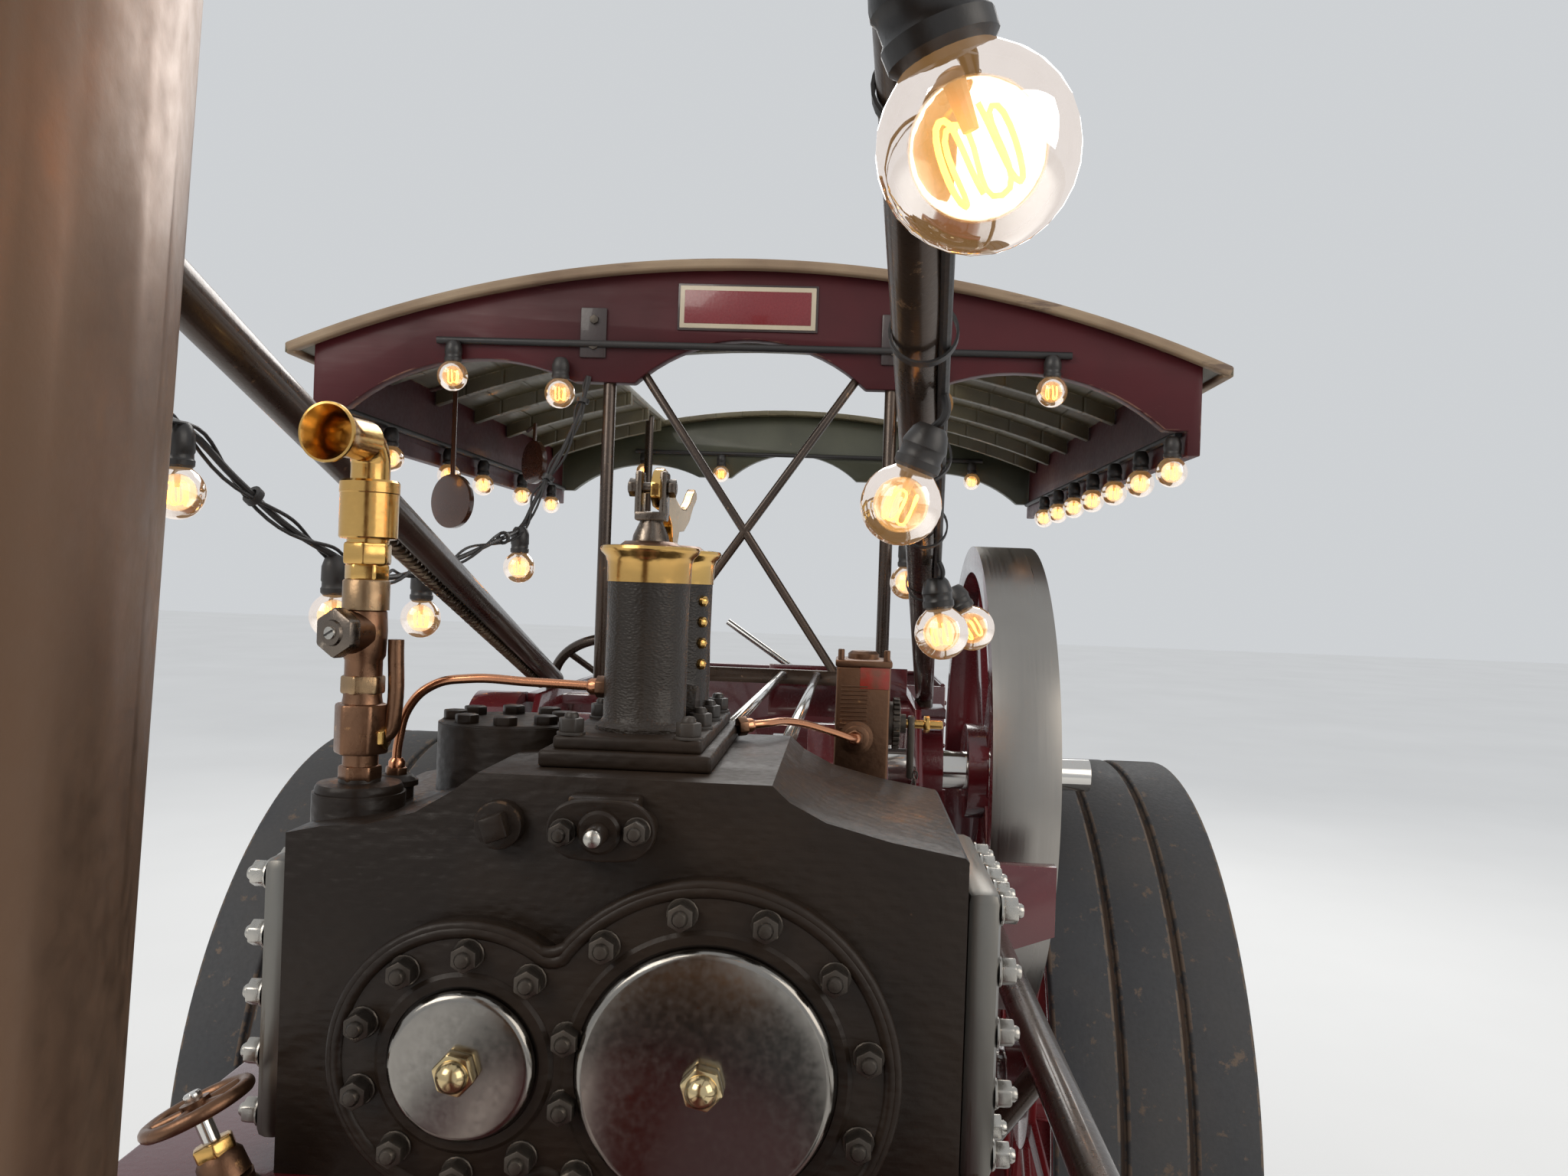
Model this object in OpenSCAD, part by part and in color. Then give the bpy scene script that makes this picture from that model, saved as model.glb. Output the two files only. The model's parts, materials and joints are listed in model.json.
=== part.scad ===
// Miniature steam traction engine of the compound road type.
// Frame: +X towards the chimney, +Y to the engine's left, +Z up, ground at z = 0.

/* [Wheels] */
// Rear axle position along the engine
rear_axle_x = -433; // [-440:1:-430]
// Distance between the two axles
wheelbase = 1761; // [1755:1:1765]
// Radius of a rear wheel over its rubber
rear_wheel_r = 495; // [490:1:500]
// Width of a rear wheel
rear_wheel_w = 238; // [230:2:242]
// Middle of a rear wheel from the centre line
rear_wheel_y = 529; // [525:1:533]
// Radius of a front wheel over its rubber
front_wheel_r = 300; // [295:1:302]
// Width of a front wheel
front_wheel_w = 130; // [120:2:134]
// Middle of a front wheel from the centre line
front_wheel_y = 378; // [374:1:384]
// Thickness of the rubber bands
rubber_t = 22; // [18:1:26]

/* [Boiler] */
// Radius of the boiler cladding
barrel_r = 230; // [226:1:232]
// Radius of the smokebox
smokebox_r = 236; // [234:1:240]
// Height of the boiler's axis
boiler_z = 690; // [687:1:692]
// Front end of the firebox
firebox_front_x = -12; // [-20:1:0]
// Rear end of the smokebox
smokebox_rear_x = 1165; // [1150:1:1180]
// Front end of the smokebox
smokebox_front_x = 1462; // [1450:1:1470]
// Radius of the smokebox door
door_r = 190; // [180:1:200]

/* [Engine] */
// Crankshaft position along the engine
crank_x = -143; // [-148:1:-138]
// Height of the crankshaft and of the cylinder axes over the rear axle
crank_rise = 517; // [513:1:521]
// Crank throw
throw_r = 58; // [54:1:60]
// High-pressure cylinder's axis from the centre line
high_y = -32; // [-34:1:-30]
// Low-pressure cylinder's axis from the centre line
low_y = 85; // [83:1:87]
// Length of a connecting rod between its two pins
rod_length = 480; // [476:1:484]
// Front face of the cylinder block
block_front_x = 858; // [854:1:862]
// Rear face of the cylinder block
block_rear_x = 661; // [656:1:666]
// Radius of the flywheel
flywheel_r = 297; // [292:1:300]

/* [Hornplates] */
// Outer face of a hornplate outside the boiler cladding
horn_gap = 13; // [12:1:15]
// Thickness of a hornplate
horn_t = 8; // [7:1:9]

/* [Canopy] */
// Front face of the canopy's front board
canopy_front_x = -196; // [-200:1:-192]
// Rear end of the canopy
canopy_rear_x = -1628; // [-1632:1:-1620]
// Half width over the roof
canopy_half_w = 655; // [650:1:658]
// Height of the roof's crown
crown_z = 1696; // [1690:1:1700]
// Height of the roof's edge
eaves_z = 1564; // [1560:1:1568]
// Thickness of the roof boards
roof_t = 12; // [10:1:14]

/* [Hidden] */
$fn = 48;
far = 4000;
front_axle_x = rear_axle_x + wheelbase;
chimney_x = front_axle_x + 20;
horn_y = barrel_r + horn_gap;
crank_z = rear_wheel_r + crank_rise;
saddle_z = boiler_z + barrel_r + 25;
roof_r = (pow(canopy_half_w, 2) + pow(crown_z - eaves_z, 2)) / (2 * (crown_z - eaves_z));
roof_c = crown_z - roof_r;
roof_in_r = roof_r - roof_t;
function roof_under(y) = roof_c + sqrt(pow(roof_in_r, 2) - y * y);
function chimney_r(z) = 80 + (z - 1246) * 0.033;

// Round bar along Y from y0 to y1
module bar_y(x, z, r, y0, y1) {
    translate([x, y1, z]) rotate([90, 0, 0]) cylinder(r = r, h = y1 - y0);
}

// Round bar along X from x0 to x1
module bar_x(y, z, r, x0, x1) {
    translate([x0, y, z]) rotate([0, 90, 0]) cylinder(r = r, h = x1 - x0);
}

// Round bar along Z from z0 to z1
module bar_z(x, y, r, z0, z1) {
    translate([x, y, z0]) cylinder(r = r, h = z1 - z0);
}

// Round rod between two points
module rod(a, b, r) {
    d = b - a;
    translate(a) rotate([0, acos(d[2] / norm(d)), atan2(d[1], d[0])]) cylinder(r = r, h = norm(d));
}

function unit(v) = v / norm(v);

// Point at share t of the smooth curve between points i and i + 1
function curve_at(p, i, t) = let (
    a = p[max(i - 1, 0)], b = p[i], c = p[i + 1], d = p[min(i + 2, len(p) - 1)])
    0.5 * (2 * b + (c - a) * t + (2 * a - 5 * b + 4 * c - d) * t * t
        + (3 * b - a - 3 * c + d) * t * t * t);

// Smooth route through the points, with k steps between each two
function route(p, k) = concat(
    [for (i = [0:len(p) - 2]) for (j = [0:k - 1]) curve_at(p, i, j / k)], [p[len(p) - 1]]);

// Round tube swept along a smooth route through the points
module tube(points, r, sides = 10, steps = 4) {
    way = route(points, steps);
    last = len(way) - 1;
    ref = unit([0.31, 0.27, 0.91]);
    rings = [for (i = [0:last]) let (
        t = unit(i == 0 ? points[1] - points[0]
            : i == last ? points[len(points) - 1] - points[len(points) - 2]
            : way[i + 1] - way[i - 1]),
        u = unit(cross(t, ref)), v = cross(t, u))
        for (k = [0:sides - 1]) way[i] + r * (cos(k * 360 / sides) * u + sin(k * 360 / sides) * v)];
    walls = [for (i = [0:last - 1]) for (k = [0:sides - 1]) let (n = (k + 1) % sides)
        [i * sides + k, (i + 1) * sides + k, (i + 1) * sides + n, i * sides + n]];
    ends = [[for (k = [0:sides - 1]) k], [for (k = [sides - 1:-1:0]) last * sides + k]];
    polyhedron(points = rings, faces = concat(walls, ends), convexity = 6);
}

// Box between two corners
module box(a, b) {
    translate(a) cube(b - a);
}

// The children and their mirror image on the other side
module both_sides() {
    children();
    mirror([0, 1, 0]) children();
}

// Hexagonal nut standing on a face that looks along +X
module nut_x(x, y, z, af, h) {
    translate([x, y, z]) rotate([0, 90, 0]) cylinder(r = af / sqrt(3), h = h, $fn = 6);
}

module boiler_barrel() {
    bands = [180, 560, 1120];
    color("maroon") {
        bar_x(0, boiler_z, barrel_r, firebox_front_x, smokebox_rear_x);
        for (x = bands) bar_x(0, boiler_z, barrel_r + 3, x, x + 26);
    }
}

hinge_x = smokebox_front_x + 13;
hinge_y = 212;

module smokebox() {
    wall = 8;
    color([0.08, 0.08, 0.08]) difference() {
        union() {
            bar_x(0, boiler_z, smokebox_r, smokebox_rear_x, smokebox_front_x);
            bar_x(0, boiler_z, smokebox_r + 6, smokebox_front_x - 30, smokebox_front_x);
            for (z = [boiler_z - 108, boiler_z + 96])
                box([smokebox_front_x - 6, hinge_y - 10, z], [smokebox_front_x + 24, hinge_y + 10, z + 12]);
            bar_z(hinge_x, hinge_y, 5, boiler_z - 108, boiler_z + 108);
        }
        bar_x(0, boiler_z, smokebox_r - wall, smokebox_rear_x + 12, smokebox_front_x - 12);
        bar_x(0, boiler_z, door_r - 18, smokebox_front_x - 40, smokebox_front_x + 40);
        bar_z(chimney_x, 0, 62, boiler_z, boiler_z + 400);
    }
}

module smokebox_door() {
    rim_x = smokebox_front_x + 1;
    dish = 34;
    dish_r = (pow(door_r - 14, 2) + dish * dish) / (2 * dish);
    color([0.08, 0.08, 0.08]) {
        translate([rim_x, 0, boiler_z]) rotate([0, 90, 0]) rotate_extrude($fn = 96) polygon(concat(
            [[0, 0], [door_r, 0], [door_r, 12], [door_r - 14, 12]],
            [for (i = [1:8]) let (r = (door_r - 14) * (1 - i / 8))
                [r, 12 + dish - dish_r + sqrt(dish_r * dish_r - r * r)]]));
        difference() {
            union() {
                for (z = [boiler_z - 76, boiler_z + 76])
                    box([rim_x + 5, 100, z - 9], [rim_x + 20, hinge_y, z + 9]);
                bar_z(hinge_x, hinge_y, 10, boiler_z - 94, boiler_z + 94);
            }
            bar_z(hinge_x, hinge_y, 5.4, boiler_z - 100, boiler_z + 100);
        }
    }
    color("silver") {
        bar_x(0, boiler_z, 14, rim_x + 30, rim_x + 84);
        for (k = [[64, 20], [76, 100]]) translate([rim_x + k[0], 0, boiler_z]) rotate([k[1], 0, 0])
            translate([-4, -5, 0]) cube([8, 10, 95]);
    }
}

stay_r = 12.5;
stay_low = [-188, 256, 1107];
stay_high = [chimney_x, 136.4, 1483.3];

module chimney() {
    cx = chimney_x;
    base_z = boiler_z + 150;
    top_z = 1712;
    color([0.35, 0.22, 0.15]) difference() {
        union() {
            translate([cx, 0, 0]) rotate_extrude($fn = 96) polygon([
                [0, base_z], [112, base_z], [112, boiler_z + smokebox_r + 10],
                [92, boiler_z + smokebox_r + 34], [chimney_r(1000), 1000],
                [chimney_r(1640), 1640], [chimney_r(1640) + 10, 1652],
                [chimney_r(1640) + 18, 1690], [chimney_r(1640) + 18, 1704],
                [chimney_r(1640) + 8, top_z], [0, top_z]]);
            bar_z(cx, 0, chimney_r(1483) + 9, 1471, 1495);
            both_sides() box([cx - 14, 60, 1467], [cx + 14, 158, 1499]);
        }
        both_sides() rod(stay_low, stay_high, stay_r + 0.3);
        bar_z(cx, 0, 62, base_z - 10, top_z + 10);
        bar_x(0, boiler_z, smokebox_r, cx - 200, cx + 200);
        bar_x(0, boiler_z, smokebox_r + 6, smokebox_front_x - 30, cx + 200);
    }
}

firebox_rear_x = -372;
firehole_z = 640;
door_pin_y = 92;

module firebox() {
    inner_y = horn_y - horn_t;
    color("maroon") difference() {
        union() {
            bar_x(0, boiler_z, barrel_r, firebox_rear_x, firebox_front_x);
            box([firebox_rear_x, -inner_y, 330], [firebox_front_x, inner_y, boiler_z]);
            bar_x(0, firehole_z, 80, firebox_rear_x - 12, firebox_rear_x);
            for (z = [firehole_z - 36, firehole_z + 26])
                box([firebox_rear_x - 26, door_pin_y - 8, z], [firebox_rear_x, door_pin_y + 8, z + 10]);
            bar_z(firebox_rear_x - 18, door_pin_y, 4, firehole_z - 36, firehole_z + 36);
        }
        bar_x(0, firehole_z, 62, firebox_rear_x - 60, firebox_rear_x + 90);
    }
}

module firehole_door() {
    color([0.1, 0.1, 0.1]) {
        bar_x(0, firehole_z, 70, firebox_rear_x - 22, firebox_rear_x - 13);
        difference() {
            union() {
                box([firebox_rear_x - 22, 40, firehole_z - 10],
                    [firebox_rear_x - 14, door_pin_y, firehole_z + 10]);
                bar_z(firebox_rear_x - 18, door_pin_y, 8, firehole_z - 24, firehole_z + 24);
            }
            bar_z(firebox_rear_x - 18, door_pin_y, 4.4, firehole_z - 30, firehole_z + 30);
        }
        rod([firebox_rear_x - 18, -48, firehole_z], [firebox_rear_x - 44, -52, firehole_z + 8], 5);
    }
}

axle_r = 36;
control_ys = [60, 108];
control_r = 5;

// Long rod of the controls beside the motion, from the cylinder block to the footplate
module control_rod(y, r) {
    rod([block_rear_x - 0.1, y, crank_z + 130], [-448, y, crank_z + 108], r);
}

module hornplates() {
    color("maroon") {
        both_sides() difference() {
            translate([0, horn_y, 0]) rotate([90, 0, 0]) linear_extrude(height = horn_t) polygon([
                [-12, 330], [-372, 330], [-400, 420], [-470, 420], [-570, 500], [-570, 820],
                [-470, 1060], [-440, 1100], [-40, 1100], [30, 1020], [30, 960], [-12, 900]]);
            bar_y(crank_x, crank_z, 26, 0, far);
            bar_y(rear_axle_x, rear_wheel_r, axle_r + 0.3, 0, far);
        }
        both_sides() difference() {
            union() {
                bar_y(crank_x, crank_z, 52, horn_y, horn_y + 34);
                bar_y(rear_axle_x, rear_wheel_r, 72, horn_y, horn_y + 30);
            }
            bar_y(crank_x, crank_z, 26, 0, far);
            bar_y(rear_axle_x, rear_wheel_r, axle_r + 0.3, 0, far);
        }
        both_sides() box([-232, 170, 1078], [-150, 283, 1090]);
        box([-560, -horn_y, 780], [-552, horn_y, 860]);
        difference() {
            box([-254, 39, 1064], [-246, horn_y - horn_t, 1136]);
            for (y = control_ys) control_rod(y, control_r + 0.4);
        }
    }
}

module ashpan() {
    color([0.1, 0.1, 0.1]) translate([0, 200, 0]) rotate([90, 0, 0]) linear_extrude(height = 400)
        polygon([[-352, 330], [-32, 330], [-80, 236], [-310, 236]]);
}

module belly_tank() {
    color("maroon") difference() {
        union() {
            box([280, -190, 336], [800, 190, 450]);
            for (x = [360, 720]) box([x, -90, 440], [x + 30, 90, 480]);
        }
        bar_x(0, boiler_z, barrel_r, 0, far);
    }
    color("goldenrod") bar_z(540, 160, 22, 450, 466);
}

module cylinder_saddle() {
    color("maroon") difference() {
        translate([610, 0, 0]) rotate([90, 0, 90]) linear_extrude(height = 300)
            polygon([[-150, saddle_z - 115], [-214, saddle_z - 30], [-214, saddle_z],
                [228, saddle_z], [228, saddle_z - 30], [150, saddle_z - 115]]);
        bar_x(0, boiler_z, barrel_r, 0, far);
    }
}

module clack_valve() {
    x = 884;
    y = -141;
    lean = 26;
    color([0.5, 0.3, 0.2]) {
        bar_z(x, y, 16, saddle_z, saddle_z + 12);
        translate([x, y, saddle_z + 12]) rotate([lean, 0, 0]) {
            translate([0, 0, -6]) cylinder(r = 11, h = 20);
            cylinder(r = 5, h = 42);
            translate([0, 0, 32]) cylinder(r = 27, h = 8);
        }
    }
}

module cylinder_block() {
    // Outline of the end face, as height over the cylinder axes at each distance from the centre line
    top = [[-131, 103], [-113, 107], [-90, 109], [-66, 116], [-48, 127], [-35, 137], [111, 137],
        [120, 129], [138, 120], [170, 112], [206, 106], [208, 104]];
    color([0.05, 0.05, 0.05]) {
        translate([block_rear_x, 0, 0]) rotate([90, 0, 90])
            linear_extrude(height = block_front_x - block_rear_x) polygon(concat(
                [[-131, saddle_z]], [for (p = top) [p[0], crank_z + p[1]]], [[208, saddle_z]]));
        bar_z(738, -54, 41, crank_z + 90, crank_z + 148);
        bar_z(813, -113, 24, crank_z + 90, crank_z + 117);
        bar_z(780, -106, 10, crank_z + 90, crank_z + 119);
    }
}

module cylinder_covers() {
    color([0.06, 0.06, 0.06]) {
        difference() {
            union() {
                bar_x(low_y, crank_z, 92, block_front_x, block_front_x + 16);
                bar_x(high_y, crank_z, 67, block_front_x, block_front_x + 16);
            }
            box([0, -far, 0], [far, far, saddle_z]);
        }
        bar_x(low_y, crank_z, 66, block_rear_x - 14, block_rear_x);
        bar_x(high_y, crank_z, 58, block_rear_x - 14, block_rear_x);
        for (y = valve_ys) bar_x(y, crank_z, 13, block_rear_x - 14, block_rear_x);
        translate([block_front_x, 31, crank_z + 115]) rotate([0, 90, 0]) linear_extrude(height = 15) {
            for (s = [-1, 1]) translate([0, s * 17]) circle(r = 8);
            square([30, 34], center = true);
        }
        bar_x(31, crank_z + 115, 5, block_front_x + 15, block_front_x + 37);
        bar_x(-22, crank_z + 113, 12, block_front_x, block_front_x + 8);
    }
}

module cover_discs() {
    discs = [[low_y, 62], [high_y, 36]];
    x = block_front_x + 16;
    color("silver") for (d = discs) {
        bar_x(d[0], crank_z, d[1], x, x + 8);
        nut_x(x + 8, d[0], crank_z, 20, 8);
        bar_x(d[0], crank_z, 6, x + 16, x + 22);
    }
}

module valve_chest_covers() {
    x0 = block_front_x - 152;
    x1 = block_front_x - 8;
    color("silver") {
        box([x0, 208, crank_z - 56], [x1, 226, crank_z + 88]);
        box([x0, -147, crank_z - 56], [x1, -131, crank_z + 88]);
    }
}

module safety_valve() {
    column_xs = [783, 721];
    base_z = crank_z + 137;
    neck_z = crank_z + 234;
    y = 36;
    color([0.08, 0.08, 0.08]) {
        box([664, -12, base_z], [833, 78, base_z + 8]);
        box([671, -5, base_z + 8], [826, 71, base_z + 15]);
        for (x = column_xs) bar_z(x, y, 21.6, base_z + 15, neck_z);
        box([721, y - 8, base_z + 15], [783, y + 8, neck_z - 8]);
    }
    color("goldenrod") {
        for (x = column_xs) bar_z(x, y, 27, neck_z, neck_z + 20);
        for (x = column_xs) bar_z(x, y, 6, neck_z + 20, neck_z + 46);
        translate([0, y + 4, 0]) rotate([90, 0, 0]) linear_extrude(height = 8) polygon([
            for (p = [[790, 44], [790, 56], [775, 64], [752, 58], [700, 44], [640, 61],
                [634, 52], [700, 32], [752, 40]]) [p[0], neck_z + p[1]]]);
    }
}

module whistle_stack() {
    x = 813;
    y = -113;
    // Height of each round step's foot and head over the cylinder axes, and its radius
    steps = [[117, 123, 22.7], [123, 140, 9], [140, 166, 13], [166, 192, 9.6], [192, 218, 14],
        [218, 250, 12], [250, 279, 15.2], [279, 312, 9]];
    horn_z = crank_z + 304;
    color("goldenrod") {
        for (s = steps) bar_z(x, y, s[2], crank_z + s[0], crank_z + s[1]);
        translate([x, y, crank_z + 205]) rotate([90, 0, 50]) cylinder(r = 11.5, h = 30, $fn = 6);
        translate([x, y, horn_z]) rotate([0, 90, -17]) {
            cylinder(r = 9, h = 26);
            translate([0, 0, 20]) cylinder(r = 17, h = 35);
        }
    }
}

module lubricator() {
    foot_z = crank_z + 84;
    color([0.45, 0.25, 0.15]) box([540, 139, foot_z + 14], [584, 178, foot_z + 105]);
    color([0.1, 0.1, 0.1]) box([546, 141, foot_z], [block_rear_x, 172, foot_z + 14]);
    color("goldenrod") {
        bar_y(562, foot_z + 53, 18, 178, 192);
        rod([562, 196, foot_z + 53], [562, 196, foot_z + 16], 5);
        bar_y(562, foot_z + 53, 6, 192, 208);
        bar_z(562, 158, 12, foot_z + 105, foot_z + 112);
    }
}

ecc_throw = 12;
ecc_off = 61;
valve_ys = [high_y - ecc_off, low_y + ecc_off];
valve_rod_r = 6;
rod_half = 10;
small_end_r = 16;
rail_y = barrel_r + 57;
rail_z = boiler_z + 248;
rail_r = 12.5;

module motion_frame() {
    plate_x = 250;
    color("maroon") {
        difference() {
            translate([plate_x, 0, 0]) rotate([90, 0, 90]) linear_extrude(height = 16)
                polygon([[-150, 840], [-130, crank_z + 100], [190, crank_z + 100], [200, 845]]);
            bar_x(0, boiler_z, barrel_r, plate_x - 50, plate_x + 50);
            box([plate_x - 5, high_y - 26, crank_z - 75], [plate_x + 20, high_y + 26, crank_z + 75]);
            box([plate_x - 5, low_y - 26, crank_z - 32], [plate_x + 20, low_y + 26, crank_z + 200]);
            for (y = valve_ys) bar_x(y, crank_z, valve_rod_r + 0.4, plate_x - 5, plate_x + 30);
        }
        difference() {
            translate([plate_x - 28, 0, 0]) rotate([90, 0, 90]) linear_extrude(height = 16)
                polygon([[110, 840], [160, 945], [240, 975], [365, 975], [365, 905], [240, 860], [200, 790]]);
            bar_x(0, boiler_z, barrel_r, 0, far);
            bar_x(rail_y, rail_z, rail_r + 0.4, 0, far);
        }
    }
    color("silver") for (y = [high_y, low_y]) for (s = [-1, 1]) for (t = [-1, 1])
        box([plate_x - 20, y + t * 22 - 6, crank_z + s * 40 - 6],
            [block_rear_x - 14, y + t * 22 + 6, crank_z + s * 40 + 6]);
}

high_angle = 0;
low_angle = -90;

// Position along the engine of the gudgeon pin, with the crank at angle a above +X
function gudgeon_x(a) = crank_x + throw_r * cos(a) + sqrt(pow(rod_length, 2) - pow(throw_r * sin(a), 2));

// Crosshead with open middle and its piston rod, with the crank at angle a above +X
module crosshead(y, a) {
    pin_x = gudgeon_x(a);
    web_x = pin_x - throw_r * cos(a) + throw_r + small_end_r + 6;
    color("silver") {
        for (s = [-1, 1]) {
            box([pin_x - 26, y + s * 22 - 6, crank_z - 33.5], [web_x + 20, y + s * 22 + 6, crank_z + 33.5]);
            bar_y(pin_x, crank_z, 12, y + s * 30 - 2.5, y + s * 30 + 2.5);
        }
        box([web_x, y - 28, crank_z - 33.5], [web_x + 20, y + 28, crank_z + 33.5]);
        bar_x(y, crank_z, 9, web_x + 20, block_rear_x - 14);
    }
}

module crossheads() {
    crosshead(high_y, high_angle);
    crosshead(low_y, low_angle);
    color("silver") for (y = valve_ys) bar_x(y, crank_z, valve_rod_r, 228, block_rear_x - 14);
}

// Connecting rod of one cylinder, with the crank at angle a above +X
module connecting_rod(y, a) {
    pin = [crank_x + throw_r * cos(a), y, crank_z + throw_r * sin(a)];
    end = [gudgeon_x(a), y, crank_z];
    color("silver") difference() {
        union() {
            rod(pin, end, rod_half);
            bar_y(pin[0], pin[2], 29, y - rod_half, y + rod_half);
            bar_y(end[0], end[2], small_end_r, y - rod_half, y + rod_half);
        }
        bar_y(pin[0], pin[2], 20, y - 20, y + 20);
    }
}

module high_connecting_rod() {
    connecting_rod(high_y, high_angle);
}

module low_connecting_rod() {
    connecting_rod(low_y, low_angle);
}

// Two webs and the pin between them, pointing at angle a above +X
module crank(y, a) {
    translate([crank_x, y, crank_z]) rotate([0, -a, 0]) {
        for (s = [-1, 1]) {
            translate([0, s * 26 + 7, 0]) rotate([90, 0, 0]) linear_extrude(height = 14)
                polygon([[-34, -34], [-34, 34], [throw_r + 8, 30], [throw_r + 26, 12],
                    [throw_r + 26, -12], [throw_r + 8, -30]]);
        }
        bar_y(throw_r, 0, 19, -26, 26);
    }
}

module crankshaft() {
    cuts = [[high_y - 26, high_y + 26], [low_y - 26, low_y + 26]];
    color("silver") {
        difference() {
            bar_y(crank_x, crank_z, 25, -330, 383);
            for (c = cuts) box([crank_x - 40, c[0], crank_z - 40], [crank_x + 40, c[1], crank_z + 40]);
        }
        crank(high_y, high_angle);
        crank(low_y, low_angle);
        translate([crank_x, 0, crank_z]) {
            bar_y(ecc_throw, 0, 46, high_y - ecc_off - 13, high_y - ecc_off + 13);
            bar_y(0, ecc_throw, 46, low_y + ecc_off - 13, low_y + ecc_off + 13);
        }
    }
    color("maroon") {
        bar_y(crank_x, crank_z, 36, 383, 430);
        bar_y(crank_x, crank_z, 21, 430, 472);
    }
}

module flywheel() {
    y0 = 309;
    y1 = 383;
    spokes = 6;
    color("maroon") difference() {
        union() {
            bar_y(crank_x, crank_z, 62, y0, y1);
            translate([crank_x, (y0 + y1) / 2, crank_z]) for (i = [0:spokes - 1])
                rotate([0, i * 360 / spokes, 0]) translate([0, -14, -24]) cube([flywheel_r - 30, 28, 48]);
        }
        bar_y(crank_x, crank_z, 25, 0, far);
    }
    color("silver") difference() {
        bar_y(crank_x, crank_z, flywheel_r, y0, y1);
        bar_y(crank_x, crank_z, flywheel_r - 34, y0 - 1, y1 + 1);
    }
}

// Eccentric strap with its rod, about the eccentric's centre at (x, z)
module eccentric_rod(x, y, z) {
    color("silver") difference() {
        union() {
            bar_y(x, z, 58, y - 11, y + 11);
            box([x + 40, y - 6, z - 14], [x + 340, y + 6, z + 4]);
        }
        bar_y(x, z, 46.5, y - 20, y + 20);
    }
}

module high_eccentric_rod() {
    eccentric_rod(crank_x + ecc_throw, high_y - ecc_off, crank_z);
}

module low_eccentric_rod() {
    eccentric_rod(crank_x, low_y + ecc_off, crank_z + ecc_throw);
}

module gear_guard() {
    y0 = -346;
    y1 = -horn_y - 42;
    wheels = [[crank_x, crank_z, 80], [-330, 850, 110], [rear_axle_x, rear_wheel_r + 60, 190]];
    color("maroon") difference() {
        union() {
            for (w = wheels) bar_y(w[0], w[1], w[2], y0, y1);
            for (i = [0:1]) translate([0, y1, 0]) rotate([90, 0, 0]) linear_extrude(height = y1 - y0)
                hull() for (k = [i, i + 1]) translate([wheels[k][0], wheels[k][1]]) circle(r = wheels[k][2]);
        }
        bar_y(crank_x, crank_z, 34, -far, far);
        bar_y(rear_axle_x, rear_wheel_r, 78, -far, far);
    }
    color("maroon") for (p = [[-250, 950], [-400, 700]]) bar_y(p[0], p[1], 14, y1, -horn_y);
}

module rear_axle() {
    hub_end = rear_wheel_y + rear_wheel_w / 2 - 6;
    color("silver") bar_y(rear_axle_x, rear_wheel_r, axle_r, -hub_end, hub_end);
}

// Road wheel about the Y axis at the origin, with its outer face towards +Y
module wheel(r, w, hub_r, hub_w, bore_r, spokes, tee) {
    rim_t = 12;
    rim_r = r - rubber_t;
    spoke_len = rim_r - rim_t - hub_r * 0.6;
    color([0.42, 0.05, 0.06]) difference() {
        union() {
            difference() {
                bar_y(0, 0, rim_r, -w / 2, w / 2);
                bar_y(0, 0, rim_r - rim_t, -w, w);
            }
            for (s = [-1, 1]) difference() {
                bar_y(0, 0, rim_r - 2, s * w * 0.2 - 6, s * w * 0.2 + 6);
                bar_y(0, 0, rim_r - rim_t - tee, -w, w);
            }
            bar_y(0, 0, hub_r * 0.62, -hub_w / 2, hub_w / 2);
            for (s = [-1, 1]) bar_y(0, 0, hub_r, s * hub_w * 0.36 - 6, s * hub_w * 0.36 + 6);
            for (i = [0:spokes - 1]) {
                s = i % 2 == 0 ? 1 : -1;
                drift = s * (w * 0.2 - hub_w * 0.36);
                rotate([0, i * 360 / spokes, 0]) translate([hub_r * 0.6, s * hub_w * 0.36, 0])
                    rotate([0, 0, atan2(drift, spoke_len)]) translate([0, -5, -tee * 0.55])
                        cube([spoke_len + 2, 10, tee * 1.1]);
            }
        }
        bar_y(0, 0, bore_r, -far, far);
    }
}

// Rubber bands of a road wheel, with a groove between two bands
module tyre(r, w, bands) {
    groove = 8;
    color([0.05, 0.05, 0.05]) difference() {
        bar_y(0, 0, r, -w / 2, w / 2);
        bar_y(0, 0, r - rubber_t, -w, w);
        for (i = [1:bands - 1]) difference() {
            bar_y(0, 0, r + 5, -w / 2 + i * w / bands - groove / 2, -w / 2 + i * w / bands + groove / 2);
            bar_y(0, 0, r - 10, -w, w);
        }
    }
}

module at_rear(side) {
    translate([rear_axle_x, side * rear_wheel_y, rear_wheel_r]) children();
}

module at_front(side) {
    translate([front_axle_x, side * front_wheel_y, front_wheel_r]) children();
}

module rear_wheel() {
    wheel(rear_wheel_r, rear_wheel_w, 105, 228, axle_r + 0.5, 14, 30);
}

module front_wheel() {
    wheel(front_wheel_r, front_wheel_w, 66, 128, 22.5, 12, 22);
}

module rear_wheel_left() { at_rear(1) rear_wheel(); }
module rear_wheel_right() { at_rear(-1) rear_wheel(); }
module rear_tyre_left() { at_rear(1) tyre(rear_wheel_r, rear_wheel_w, 3); }
module rear_tyre_right() { at_rear(-1) tyre(rear_wheel_r, rear_wheel_w, 3); }
module front_wheel_left() { at_front(1) front_wheel(); }
module front_wheel_right() { at_front(-1) front_wheel(); }
module front_tyre_left() { at_front(1) tyre(front_wheel_r, front_wheel_w, 2); }
module front_tyre_right() { at_front(-1) tyre(front_wheel_r, front_wheel_w, 2); }

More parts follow.
